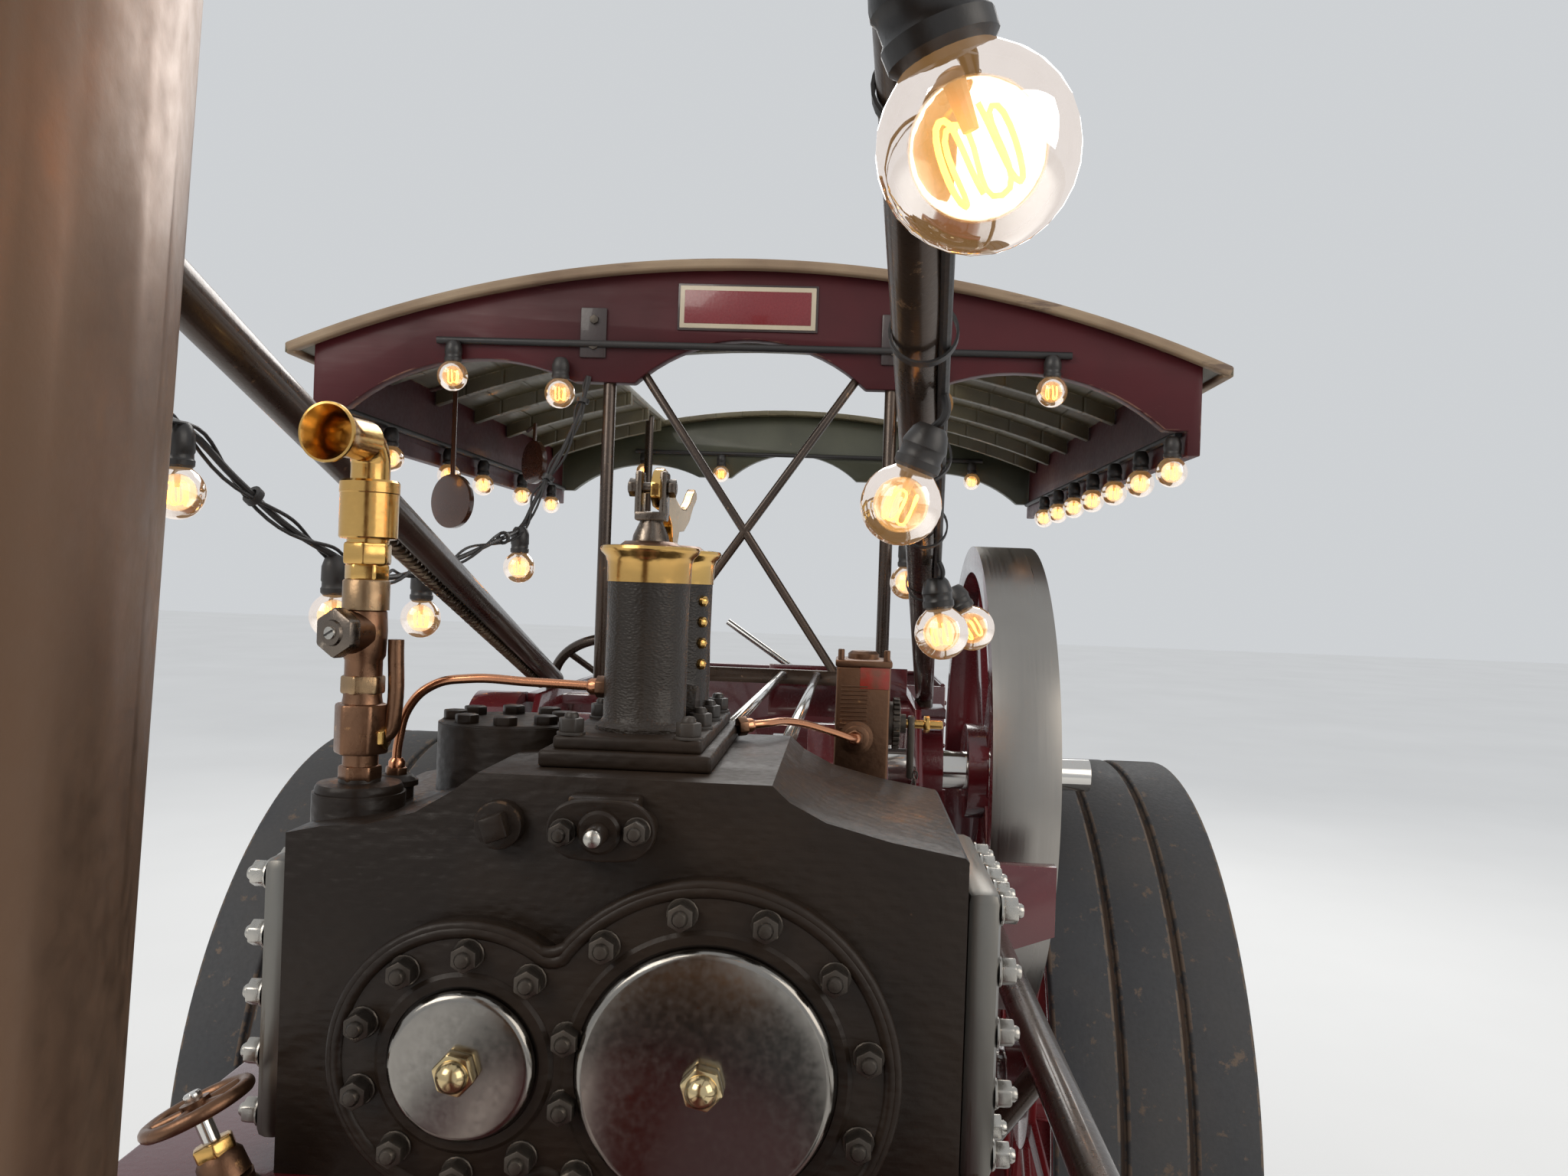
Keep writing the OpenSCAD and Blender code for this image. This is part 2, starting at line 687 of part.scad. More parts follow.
module front_bracket() {
    x = front_axle_x;
    color("maroon") difference() {
        union() {
            translate([x - 110, 0, 0]) rotate([90, 0, 90]) linear_extrude(height = 200)
                polygon([[-160, 540], [-90, 420], [-60, 372], [60, 372], [90, 420], [160, 540]]);
            bar_z(x, 0, 70, 352, 420);
        }
        bar_x(0, boiler_z, smokebox_r, x - 200, x + 200);
        bar_z(x, 0, 18.5, 340, 440);
    }
    color("maroon") difference() {
        box([x + 88, -26, 372], [x + 150, 26, 392]);
        bar_z(x + 126, 0, 9, 0, far);
    }
}

module front_axle() {
    x = front_axle_x;
    stub = front_wheel_y + front_wheel_w / 2 + 4;
    color([0.42, 0.05, 0.06]) {
        box([x - 26, -300, front_wheel_r - 30], [x + 26, 300, front_wheel_r + 30]);
        bar_z(x, 0, 66, front_wheel_r, 350);
        both_sides() box([x - 60, 222, front_wheel_r - 14], [x, 246, front_wheel_r + 14]);
    }
    color("silver") {
        bar_y(x, front_wheel_r, 22, -stub, stub);
        bar_z(x, 0, 18, front_wheel_r, 420);
    }
}

roller_x = 110;
roller_z = 330;
column_y = -horn_y - 19;
column_low = [roller_x + 40, column_y, roller_z + 62];
column_high = [-700, column_y, 1050];
column_tilt = atan2(column_high[0] - column_low[0], column_high[2] - column_low[2]);

module steering_column() {
    color("silver") rod(column_low, column_high, 10);
    color("maroon") {
        box([-42, column_y - 16, 514], [-18, -horn_y, 548]);
        for (s = [-1, 1]) difference() {
            box([roller_x - 16, s * 200 - 8, roller_z - 26], [roller_x + 16, s * 200 + 8, 600]);
            bar_y(roller_x, roller_z, 14.5, -far, far);
            bar_x(0, boiler_z, barrel_r, 0, far);
        }
    }
}

module steering_wheel() {
    color([0.12, 0.12, 0.12]) translate(column_high) rotate([0, column_tilt, 0]) difference() {
        union() {
            rotate_extrude() translate([120, 0]) circle(r = 9);
            translate([0, 0, -20]) cylinder(r = 24, h = 40);
            for (i = [0:3]) rotate([0, 0, i * 90 + 45]) rotate([0, 90, 0]) cylinder(r = 6, h = 120);
        }
        translate([0, 0, -60]) cylinder(r = 10.4, h = 70);
    }
}

module steering_roller() {
    color([0.2, 0.2, 0.2]) {
        bar_y(roller_x, roller_z, 34, -180, 180);
        bar_y(roller_x, roller_z, 14, column_y - 13, 214);
        bar_y(roller_x, roller_z, 44, column_y - 9, column_y + 9);
    }
}

module steering_chains() {
    color([0.3, 0.3, 0.3]) both_sides()
        rod([roller_x, 150, roller_z - 41], [front_axle_x - 61, 234, front_wheel_r], 6);
}

module tender() {
    wide = 360;
    wall = 6;
    rear_x = -1440;
    front_x = -655;
    bunker_x = -1060;
    floor_z = 400;
    color("maroon") {
        difference() {
            box([rear_x, -wide, floor_z], [front_x, wide, 1050]);
            box([bunker_x + wall, -wide + wall, floor_z + 10], [front_x - wall, wide - wall, 1200]);
            box([rear_x + wall, -wide + wall, 640], [bunker_x, wide - wall, 1200]);
            box([bunker_x + wall, -far, 900], [front_x + 50, far, 1200]);
            box([front_x - 20, -horn_y, floor_z + 10], [front_x + 20, horn_y, 1200]);
        }
        both_sides() box([front_x, horn_y, floor_z], [-508, horn_y + 8, 800]);
        box([front_x - 10, -horn_y, floor_z], [-480, horn_y, floor_z + 10]);
    }
}

module driver_seat() {
    color([0.1, 0.1, 0.1]) {
        box([-960, 170, 780], [-760, 340, 800]);
        box([-870, 340, 770], [-850, 354, 800]);
    }
}

module drawbar() {
    x = -1440;
    color([0.15, 0.15, 0.15]) difference() {
        union() {
            box([x - 70, -60, 470], [x, 60, 500]);
            box([x - 12, -110, 430], [x, 110, 540]);
        }
        bar_z(x - 42, 0, 13, 0, far);
    }
}

// Arch cut out of a board, given by its centre height, radius and side
module arch(y, z, r) {
    translate([y, z]) circle(r = r, $fn = 96);
}

side_board_y = 600;

module board_profile() {
    difference() {
        intersection() {
            translate([0, roof_c]) circle(r = roof_in_r - 0.3, $fn = 240);
            translate([-618, 1478]) square([1236, 400]);
        }
        arch(0, 1352.5, 234.5);
        for (s = [-1, 1]) arch(s * 373.2, 1251.3, 300.1);
        translate([-250, 1400]) square([500, 123]);
    }
}

module canopy_boards() {
    board_t = 24;
    color("maroon") {
        translate([canopy_front_x - board_t, 0, 0]) rotate([90, 0, 90])
            linear_extrude(height = board_t) board_profile();
        translate([canopy_rear_x + 12, 0, 0]) rotate([90, 0, 90])
            linear_extrude(height = board_t) board_profile();
        both_sides() difference() {
            box([canopy_rear_x + 12, side_board_y, 1444], [canopy_front_x, side_board_y + 18, 1600]);
            difference() {
                box([-far, 500, 1400], [far, 700, 1800]);
                bar_x(0, roof_c, roof_in_r - 0.3, -far, far, $fn = 240);
            }
        }
    }
}

module roof_panels() {
    hole_w = 330;
    hole_x0 = -1560;
    hole_x1 = -690;
    rib_xs = [-420, -640, -860, -1080, -1300, -1480];
    length = canopy_front_x + 12 - canopy_rear_x;
    color([0.3, 0.3, 0.18]) difference() {
        translate([canopy_rear_x, 0, roof_c]) rotate([90, 0, 90]) linear_extrude(height = length)
            difference() {
                circle(r = roof_r, $fn = 240);
                circle(r = roof_in_r, $fn = 240);
                translate([-far, -far]) square([2 * far, far + eaves_z - roof_c - 14]);
                for (k = [-1, 1])
                    translate([k * (canopy_half_w + far / 2), 0]) square([far, far], center = true);
            }
        box([hole_x0, -hole_w, 1500], [hole_x1, hole_w, 1800]);
    }
    color([0.3, 0.3, 0.18]) difference() {
        for (x = rib_xs) translate([x - 10, 0, roof_c]) rotate([90, 0, 90]) linear_extrude(height = 20)
            difference() {
                circle(r = roof_in_r, $fn = 240);
                circle(r = roof_in_r - 25, $fn = 240);
                translate([-far, -far]) square([2 * far, far + 1400 - roof_c]);
                for (k = [-1, 1])
                    translate([k * (side_board_y - 3 + far / 2), 0]) square([far, far * 2], center = true);
            }
        box([hole_x0, -hole_w, 1500], [hole_x1, hole_w, 1800]);
    }
}

module canopy_posts() {
    front_x = canopy_front_x - 12;
    rear_x = -1400;
    foot = 133;
    head = 150;
    color([0.08, 0.08, 0.08]) {
        both_sides() {
            bar_z(front_x, 197, 9, 1090, 1523);
            bar_z(rear_x, 344, 10, 1050, roof_under(354));
        }
        difference() {
            box([front_x - 6, -197, 1112], [front_x + 6, 197, 1132]);
            for (y = control_ys) control_rod(y, control_r + 0.4);
        }
        intersection() {
            for (s = [-1, 1]) rod([front_x, -s * foot, 1128], [front_x, s * head, 1540], 6);
            union() {
                box([-far, -far, 0], [far, far, 1500]);
                bar_x(0, 1352.5, 234.4, -far, far);
            }
        }
    }
}

module chimney_stays() {
    color([0.08, 0.08, 0.08]) both_sides() {
        rod(stay_low, stay_high, stay_r);
        translate([-188, 256, 1090]) cylinder(r = 12, h = 17, $fn = 8);
    }
}

module grab_rail() {
    color([0.15, 0.12, 0.1]) {
        bar_x(rail_y, rail_z, rail_r, 190, 1240);
        difference() {
            for (x = [640, 1200]) rod([x, 170, boiler_z + 90], [x, rail_y, rail_z - 5], 9);
            bar_x(0, boiler_z, barrel_r, 0, smokebox_rear_x);
            bar_x(0, boiler_z, smokebox_r, smokebox_rear_x, far);
        }
    }
}

module canopy_mirrors() {
    // Position along the engine and height of each mirror
    spots = [[-465, 1367], [-959, 1484]];
    color([0.35, 0.22, 0.12]) for (p = spots) {
        translate([p[0], -500, p[1]]) rotate([0, 90, 20]) cylinder(r = 44, h = 10);
        bar_z(p[0] + 5, -500, 4, p[1] + 40, 1564);
        bar_y(p[0] + 5, 1560, 4, -600, -500);
    }
}

module copper_pipes() {
    color([0.7, 0.4, 0.25]) {
        tube([[780, -106, 1131.3], [780, -105, 1160], [781, -90, 1182], [782, -50, 1192], [783, -10, 1190],
            [783, 13.8, 1189]], 5);
        tube([[690, 78.4, 1157], [690, 92, 1157], [664, 110, 1160], [634, 134, 1166], [606, 156, 1172],
            [584.5, 157, 1172]], 5);
    }
}

module footplate_controls() {
    color("silver") {
        bar_x(0, 905, 6, -420, -372);
        rod([-400, -60, 905], [-410, 150, 925], 6);
        for (y = control_ys) control_rod(y, control_r);
        rod([-444, 60, crank_z + 108], [-450, -43, crank_z + 176], 5);
        rod([-470, 222, 660], [-520, 222, 1060], 8);
        bar_y(-470, 660, 16, 212, horn_y - horn_t);
    }
    color("goldenrod") bar_x(-120, 800, 42, -400, firebox_rear_x);
}

lamp_y = 585;
left_lamp_z = 1423;
right_lamp_z = 1428;
front_lamp_x = canopy_front_x + 12;
rear_lamp_x = canopy_rear_x + 58;
front_wire_z = 1575;
rear_wire_z = 1584;
wire_r = 5;
wire_rise = 54;
// Bulb centre, holder's head and the holder's shift along the engine, for each lamp
lamp_spots = concat(
    [for (i = [0:6]) [-213 - i * 174, lamp_y, left_lamp_z, left_lamp_z + 49, 0]],
    [for (x = [-403, -679, -881, -1164, -1425]) [x, -lamp_y, right_lamp_z, right_lamp_z + 49, 0]],
    [for (k = [[-414, 1524], [-262, 1504], [260, 1504], [413, 1524]])
        [front_lamp_x, k[0], k[1], front_wire_z - wire_r, 0]],
    [for (y = [-383, -185, 452]) [rear_lamp_x, y, 1530, rear_wire_z - wire_r, -6]]);

module lamp_wiring() {
    color([0.06, 0.06, 0.06]) {
        bar_x(side_board_y - wire_r - 0.2, left_lamp_z + wire_rise, wire_r, -1590, -222);
        bar_x(-side_board_y + wire_r + 0.2, right_lamp_z + wire_rise, wire_r, -1590, -222);
        bar_y(canopy_front_x + wire_r, front_wire_z, wire_r, -440, 440);
        bar_y(canopy_rear_x + 36 + wire_r, rear_wire_z, wire_r, -410, 480);
    }
}

module lamp_holders() {
    color([0.06, 0.06, 0.06]) for (p = lamp_spots) bar_z(p[0] + p[4], p[1], 12, p[2] + 21, p[3]);
}

module lamp_bulbs() {
    color([1, 0.8, 0.5]) for (p = lamp_spots) translate([p[0], p[1], p[2]]) sphere(r = 21);
}

boiler_barrel();
smokebox();
smokebox_door();
chimney();
firebox();
firehole_door();
hornplates();
ashpan();
belly_tank();
cylinder_saddle();
clack_valve();
cylinder_block();
cylinder_covers();
cover_discs();
valve_chest_covers();
safety_valve();
whistle_stack();
lubricator();
motion_frame();
crossheads();
high_connecting_rod();
low_connecting_rod();
crankshaft();
flywheel();
high_eccentric_rod();
low_eccentric_rod();
gear_guard();
rear_axle();
rear_wheel_left();
rear_tyre_left();
rear_wheel_right();
rear_tyre_right();
front_bracket();
front_axle();
front_wheel_left();
front_tyre_left();
front_wheel_right();
front_tyre_right();
steering_column();
steering_wheel();
steering_roller();
steering_chains();
tender();
driver_seat();
drawbar();
canopy_boards();
roof_panels();
canopy_posts();
chimney_stays();
grab_rail();
canopy_mirrors();
copper_pipes();
footplate_controls();
lamp_wiring();
lamp_holders();
lamp_bulbs();
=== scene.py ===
"""Looks of a half-size compound road engine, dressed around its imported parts."""

import json
import logging
import math
from collections.abc import Callable, Iterable, Sequence
from dataclasses import dataclass, field
from enum import Enum, IntEnum

import bpy
from mathutils import Matrix, Vector


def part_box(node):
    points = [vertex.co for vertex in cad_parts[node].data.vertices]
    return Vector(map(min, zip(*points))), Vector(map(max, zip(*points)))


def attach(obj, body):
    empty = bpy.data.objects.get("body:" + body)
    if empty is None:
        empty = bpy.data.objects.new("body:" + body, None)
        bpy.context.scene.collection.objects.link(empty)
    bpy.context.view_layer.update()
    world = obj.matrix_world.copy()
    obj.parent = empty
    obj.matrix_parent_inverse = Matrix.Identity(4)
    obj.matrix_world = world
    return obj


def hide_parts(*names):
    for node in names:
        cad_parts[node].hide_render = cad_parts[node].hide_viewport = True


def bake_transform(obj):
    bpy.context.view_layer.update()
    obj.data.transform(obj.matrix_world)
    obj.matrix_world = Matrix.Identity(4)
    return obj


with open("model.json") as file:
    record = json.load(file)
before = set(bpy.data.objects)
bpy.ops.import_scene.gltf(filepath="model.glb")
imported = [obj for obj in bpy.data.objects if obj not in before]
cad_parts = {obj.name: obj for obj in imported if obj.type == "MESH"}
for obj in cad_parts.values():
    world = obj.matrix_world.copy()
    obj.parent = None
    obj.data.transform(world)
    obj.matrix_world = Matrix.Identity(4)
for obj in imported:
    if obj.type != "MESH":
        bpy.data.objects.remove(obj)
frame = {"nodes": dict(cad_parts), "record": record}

log = logging.getLogger("road_engine")

CHASSIS = "chassis"
FULL_TURN = 2 * math.pi
Piece = bpy.types.Object
Node = bpy.types.Node
Material = bpy.types.Material
Point = Sequence[float]
Pair = tuple[float, float]
Triple = tuple[float, float, float]
Colour = Triple

CRANK = Vector((-0.143, 0.0, 1.012))
HIGH_Y = -0.032
LOW_Y = 0.085
BLOCK_FRONT = 0.858
BLOCK_REAR = 0.661
BLOCK_TOP = CRANK.z + 0.137
SADDLE_TOP = 0.945
BOILER_Z = 0.69

MIDDLE_NOISE = (0.3, 0.7)
PATCH_BAND = (0.36, 0.64)
MARK_SCALE = 0.22
WEAR_BAND = 0.06
# Rounded edges show more of the wear colour: painted highlight on paint, edge wear on castings and metal.
EDGE_WEAR_AND_HIGHLIGHT = 0.14
GRAIN_GLOSS = (-0.05, 0.07)
COAT_GLOSS = 0.07
SHARP_DEG = 35
MERGE_GAP = 1e-6
CAD_MERGE_GAP = 2e-6
CAD_FLAT_DEG = 0.6


class Way(Enum):
    """The row frame's directions that pieces look along."""

    FORWARD = (1, 0, 0)
    BACK = (-1, 0, 0)
    LEFT = (0, 1, 0)
    UP = (0, 0, 1)


class Side(IntEnum):
    """A side of the engine, with the sign of its y."""

    LEFT = 1
    RIGHT = -1

    @property
    def word(self) -> str:
        """The side as the CAD nodes' names have it."""
        return self.name.lower()


class Nodes:
    """A node tree with short ways to add and link its nodes."""

    def __init__(self, tree: bpy.types.NodeTree) -> None:
        """Empties the tree.

        Args:
            tree: The tree to fill.
        """
        self.tree = tree
        self.tree.nodes.clear()

    def node(self, kind: str, inputs: dict[str | int, object] | None = None, **settings: object) -> Node:
        """Adds a node.

        Args:
            kind: The node's type name.
            inputs: Values of its sockets.
            settings: Its properties.

        Returns:
            The new node.
        """
        made = self.tree.nodes.new(kind)
        for key, value in settings.items():
            setattr(made, key, value)
        for key, value in (inputs or {}).items():
            made.inputs[key].default_value = value
        return made

    def link(self, a: Node, out: str | int, b: Node, into: str | int) -> None:
        """Links an output of a to an input of b."""
        self.tree.links.new(a.outputs[out], b.inputs[into])


class Shader(Nodes):
    """A material's nodes, with the patterns that the finishes share."""

    def __init__(self, name: str) -> None:
        """Starts an empty material.

        Args:
            name: The material's name.
        """
        self.material = bpy.data.materials.new(name)
        self.material.use_nodes = True
        super().__init__(self.material.node_tree)
        self.output = self.node("ShaderNodeOutputMaterial")
        self.surface = self.node("ShaderNodeBsdfPrincipled")
        self.link(self.surface, "BSDF", self.output, "Surface")
        self.place = self.node("ShaderNodeTexCoord")

    def set(self, **values: object) -> None:
        """Sets sockets of the surface shader, with spaces written as underscores."""
        for key, value in values.items():
            self.surface.inputs[key.replace("_", " ")].default_value = value

    def mapped(self, stretch: Point) -> Node:
        """Object coordinates stretched by three factors.

        Args:
            stretch: Factors along the three axes.

        Returns:
            The mapping node.
        """
        mapping = self.node("ShaderNodeMapping", {"Scale": stretch})
        self.link(self.place, "Object", mapping, "Vector")
        return mapping

    def noise(self, scale: float, detail: float, stretch: Point = (1, 1, 1), rough: float = 0.55) -> Node:
        """Noise in object space.

        Args:
            scale: Features to a metre.
            detail: Octaves.
            stretch: Factors along the three axes.
            rough: Share of the fine octaves.

        Returns:
            The noise node.
        """
        made = self.node("ShaderNodeTexNoise", {"Scale": scale, "Detail": detail, "Roughness": rough})
        self.link(self.mapped(stretch), "Vector", made, "Vector")
        return made

    def ramp(self, source: Node, low: float, high: float, a: Colour, b: Colour) -> Node:
        """Colours between a at low and b at high of the source's value.

        Args:
            source: Node that is read.
            low: Value where a stands.
            high: Value where b stands.
            a: First colour.
            b: Last colour.

        Returns:
            The ramp node.
        """
        made = self.node("ShaderNodeValToRGB")
        first, last = made.color_ramp.elements
        first.position, first.color = low, (*a, 1)
        last.position, last.color = high, (*b, 1)
        self.link(source, 0, made, "Fac")
        return made

    def spread(self, source: Node, low: float, high: float) -> Node:
        """The source's middle range brought to low and high.

        Args:
            source: Noise that is read.
            low: Result at the lower end.
            high: Result at the upper end.

        Returns:
            The range node.
        """
        first, last = MIDDLE_NOISE
        made = self.node("ShaderNodeMapRange", {"From Min": first, "From Max": last,
                                                "To Min": low, "To Max": high})
        self.link(source, 0, made, "Value")
        return made

    def bump(self, source: Node, strength: float, depth: float, after: Node | None = None) -> Node:
        """A bump from the source, laid over an earlier one if given.

        Args:
            source: Node with the height.
            strength: Share of the bump.
            depth: Height in metres.
            after: Bump under this one.

        Returns:
            The bump node.
        """
        made = self.node("ShaderNodeBump", {"Strength": strength, "Distance": depth})
        self.link(source, 0, made, "Height")
        if after is not None:
            self.link(after, "Normal", made, "Normal")
        self.link(made, "Normal", self.surface, "Normal")
        return made

    def mix(self, factor: Node, a: Node, colour: Colour) -> Node:
        """Node a's colour turned towards a fixed colour by the factor.

        Args:
            factor: Node with the share.
            a: Node with the first colour.
            colour: The fixed colour.

        Returns:
            The mix node.
        """
        made = self.node("ShaderNodeMix", {7: (*colour, 1)}, data_type="RGBA")
        self.link(factor, 0, made, 0)
        self.link(a, 0, made, 6)
        return made


@dataclass(frozen=True)
class Finish:
    """A finish of one colour family, with patches, grain and relief."""

    name: str
    slot: str
    colour: Colour
    patch: Colour
    # Colour of wear; on rounded edges of paint it is also painted highlight.
    worn: Colour
    metallic: float = 0.0
    gloss: Pair = (0.25, 0.45)
    coat: float = 0.0
    specular: float = 0.5
    patch_scale: float = 6.0
    grain_scale: float = 260.0
    grain_depth: float = 0.0004
    stretch: Triple = (1.0, 1.0, 1.0)
    wear: float = 0.62

    def material(self) -> Material:
        """The finish's material, made once."""
        return bpy.data.materials.get(self.name) or self.build(self.name, self.wear)

    def edge(self) -> Material:
        """The same finish for rounded edges, made once: more of the wear colour shows there, painted
        highlight on paint and edge wear on castings and metal.
        """
        name = self.name + "_edge"
        return bpy.data.materials.get(name) or self.build(name, self.wear - EDGE_WEAR_AND_HIGHLIGHT)

    def build(self, name: str, wear: float) -> Material:
        """Builds the node tree.

        Args:
            name: The material's name.
            wear: Noise level over which the wear colour shows; lower on rounded edges, where on paint it is
                painted highlight.

        Returns:
            The new material.
        """
        shader = Shader(name)
        shader.set(Metallic=self.metallic, Coat_Weight=self.coat, Coat_Roughness=COAT_GLOSS)
        shader.set(Specular_IOR_Level=self.specular)
        patches = shader.noise(self.patch_scale, 6)
        grain = shader.noise(self.grain_scale, 5, self.stretch)
        marks = shader.noise(self.grain_scale * MARK_SCALE, 8, self.stretch, 0.7)
        colour = shader.ramp(patches, *PATCH_BAND, self.colour, self.patch)
        # Mask of the wear colour; lowered on rounded edges, where on paint it paints a highlight.
        wear_and_highlight_mask = shader.node("ShaderNodeMapRange", {"From Min": wear, "From Max": wear + WEAR_BAND})
        shader.link(marks, 0, wear_and_highlight_mask, "Value")
        worn = shader.mix(wear_and_highlight_mask, colour, self.worn)
        shader.link(worn, 2, shader.surface, "Base Color")
        blend = shader.node("ShaderNodeMath", operation="ADD")
        shader.link(shader.spread(patches, *self.gloss), 0, blend, 0)
        shader.link(shader.spread(grain, *GRAIN_GLOSS), 0, blend, 1)
        shader.link(blend, 0, shader.surface, "Roughness")
        self.relief(shader, grain, marks)
        return shader.material

    def relief(self, shader: Shader, grain: Node, marks: Node) -> None:
        """Adds the fine and the coarse bump."""
        coarse = shader.bump(marks, 0.25, self.grain_depth * 2)
        shader.bump(grain, 0.5, self.grain_depth, coarse)


@dataclass(frozen=True)
class Casting(Finish):
    """Thick glossy paint over a coarse sand casting, with level ripples."""

    pit_scale: float = 120.0
    pit_depth: float = 0.0011

    def relief(self, shader: Shader, grain: Node, marks: Node) -> None:
        """Adds pits, ripples and grain.

        Args:
            shader: The material's nodes.
            grain: Fine noise.
            marks: Coarse noise; not used.
        """
        pits = shader.node("ShaderNodeTexVoronoi", {"Scale": self.pit_scale, "Smoothness": 0.7},
                           feature="SMOOTH_F1")
        shader.link(shader.mapped((1, 1, 1.9)), "Vector", pits, "Vector")
        ripples = shader.noise(46, 3, (0.35, 0.35, 3.2))
        first = shader.bump(pits, 0.45, self.pit_depth)
        second = shader.bump(ripples, 0.35, self.pit_depth, first)
        shader.bump(grain, 0.4, self.grain_depth, second)


@dataclass(frozen=True)
class Planks(Finish):
    """Boards laid side by side across the engine, with narrow joints."""

    board: float = 0.068

    def relief(self, shader: Shader, grain: Node, marks: Node) -> None:
        """Adds the joints between boards and the wood's grain.

        Args:
            shader: The material's nodes.
            grain: Fine noise.
            marks: Coarse noise; not used.
        """
        split = shader.node("ShaderNodeSeparateXYZ")
        shader.link(shader.place, "Object", split, 0)
        across = shader.node("ShaderNodeMath", {1: self.board}, operation="DIVIDE")
        shader.link(split, "Y", across, 0)
        saw = shader.node("ShaderNodeMath", {1: 0.5}, operation="PINGPONG")
        shader.link(across, 0, saw, 0)
        joint = shader.node("ShaderNodeMapRange", {"From Max": 0.05})
        shader.link(saw, 0, joint, "Value")
        first = shader.bump(joint, 0.9, 0.002)
        shader.bump(grain, 0.5, self.grain_depth, first)


@dataclass(frozen=True)
class Metal(Finish):
    """Bare metal."""

    metallic: float = 1.0


@dataclass(frozen=True)
class Lit:
    """A finish that gives off light of its own."""

    name: str
    slot: str
    glow: Colour
    strength: float

    def material(self) -> Material:
        """The finish's material, made once."""
        return bpy.data.materials.get(self.name) or self.build()

    def edge(self) -> Material:
        """The same material at an edge."""
        return self.material()

    def build(self) -> Material:
        """Builds the node tree."""
        raise NotImplementedError


@dataclass(frozen=True)
class ClearGlass(Lit):
    """Clear blown glass with a warm glow in it."""

    def build(self) -> Material:
        """The glass with a faint haze.

        Returns:
            The new material.
        """
        shader = Shader(self.name)
        shader.set(Transmission_Weight=0.97, IOR=1.45, Emission_Strength=self.strength)
        shader.set(Emission_Color=(*self.glow, 1))
        haze = shader.noise(24, 4)
        tint = shader.ramp(haze, 0.35, 0.7, (1.0, 0.95, 0.86), (1.0, 0.9, 0.74))
        shader.link(tint, 0, shader.surface, "Base Color")
        shader.link(shader.spread(haze, 0.0, 0.03), 0, shader.surface, "Roughness")
        return shader.material


@dataclass(frozen=True)
class Glow(Lit):
    """A lit filament."""

    def build(self) -> Material:
        """The glowing wire.

        Returns:
            The new material.
        """
        shader = Shader(self.name)
        heat = shader.noise(300, 2)
        tint = shader.ramp(heat, *MIDDLE_NOISE, self.glow, (1.0, 0.62, 0.22))
        shader.link(tint, 0, shader.surface, "Base Color")
        shader.set(Emission_Color=(*self.glow, 1), Emission_Strength=self.strength)
        return shader.material


MAROON = Finish("maroon_paint", "frame_maroon", (0.105, 0.01, 0.013), (0.072, 0.007, 0.01),
                (0.17, 0.05, 0.045), gloss=(0.14, 0.3), coat=0.7, wear=0.7)
CLADDING = Finish("cladding_paint", "boiler_cladding", (0.115, 0.01, 0.013), (0.085, 0.008, 0.01),
                  (0.18, 0.05, 0.045), gloss=(0.1, 0.22), coat=0.8, wear=0.72)
BOARD = Finish("board_paint", "frame_maroon", (0.066, 0.0095, 0.0125), (0.046, 0.0075, 0.0095),
               (0.17, 0.085, 0.06), gloss=(0.38, 0.54), coat=0.04, specular=0.25, grain_scale=120,
               stretch=(1, 0.12, 1), wear=0.68)
SOOT_BLACK = Finish("smokebox_paint", "smokebox_black", (0.014, 0.014, 0.015), (0.028, 0.025, 0.023),
                    (0.09, 0.07, 0.055), gloss=(0.38, 0.6), wear=0.66)
# Chimney: its own copper-brown, with extra lightness and warmth painted in for the warm lamp light falling on
# it (painted warm light).
BRONZE = Finish("chimney_copper_brown", "chimney_bronze", (0.19, 0.108, 0.062), (0.135, 0.074, 0.042),
                (0.22, 0.13, 0.076), metallic=0.9, gloss=(0.34, 0.44), coat=0.03, patch_scale=2.0,
                grain_depth=0.00008, wear=0.8)
CAST_BLACK = Casting("block_casting_paint", "casting_black", (0.015, 0.0098, 0.0068), (0.025, 0.0158, 0.0102),
                     (0.08, 0.046, 0.025), gloss=(0.34, 0.5), coat=0.04, specular=0.2, wear=0.7)
STEEL = Metal("polished_steel", "polished_steel", (0.56, 0.54, 0.51), (0.44, 0.42, 0.395),
              (0.3, 0.24, 0.19), gloss=(0.14, 0.28), grain_depth=0.00004, wear=0.72)
DARK_MIRROR = Metal("darkened_disc_steel", "polished_steel", (0.315, 0.298, 0.272), (0.275, 0.258, 0.235),
                    (0.38, 0.34, 0.29), gloss=(0.15, 0.19), patch_scale=2.5, grain_depth=0.00002,
                    wear=0.8)
BRUSHED = Metal("brushed_steel", "polished_steel", (0.225, 0.215, 0.195), (0.165, 0.155, 0.14),
                (0.11, 0.085, 0.065), gloss=(0.3, 0.46), stretch=(0.06, 1, 0.06),
                grain_depth=0.00015, wear=0.69)
NUT_STEEL = Finish("dark_nut_steel", "chain_steel", (0.05, 0.042, 0.036), (0.095, 0.08, 0.066),
                   (0.26, 0.22, 0.17), metallic=0.85, gloss=(0.28, 0.48), wear=0.61)
TURNED_RIM = Metal("turned_rim_steel", "polished_steel", (0.345, 0.325, 0.3), (0.265, 0.248, 0.228),
                   (0.16, 0.12, 0.09), gloss=(0.28, 0.4), patch_scale=3.0, grain_scale=420,
                   stretch=(0.02, 1, 0.02), grain_depth=0.0001, wear=0.72)
BRIGHT_NUT = Metal("bright_nut_steel", "polished_steel", (0.5, 0.48, 0.44), (0.36, 0.34, 0.31),
                   (0.2, 0.15, 0.11), gloss=(0.2, 0.38), wear=0.62)
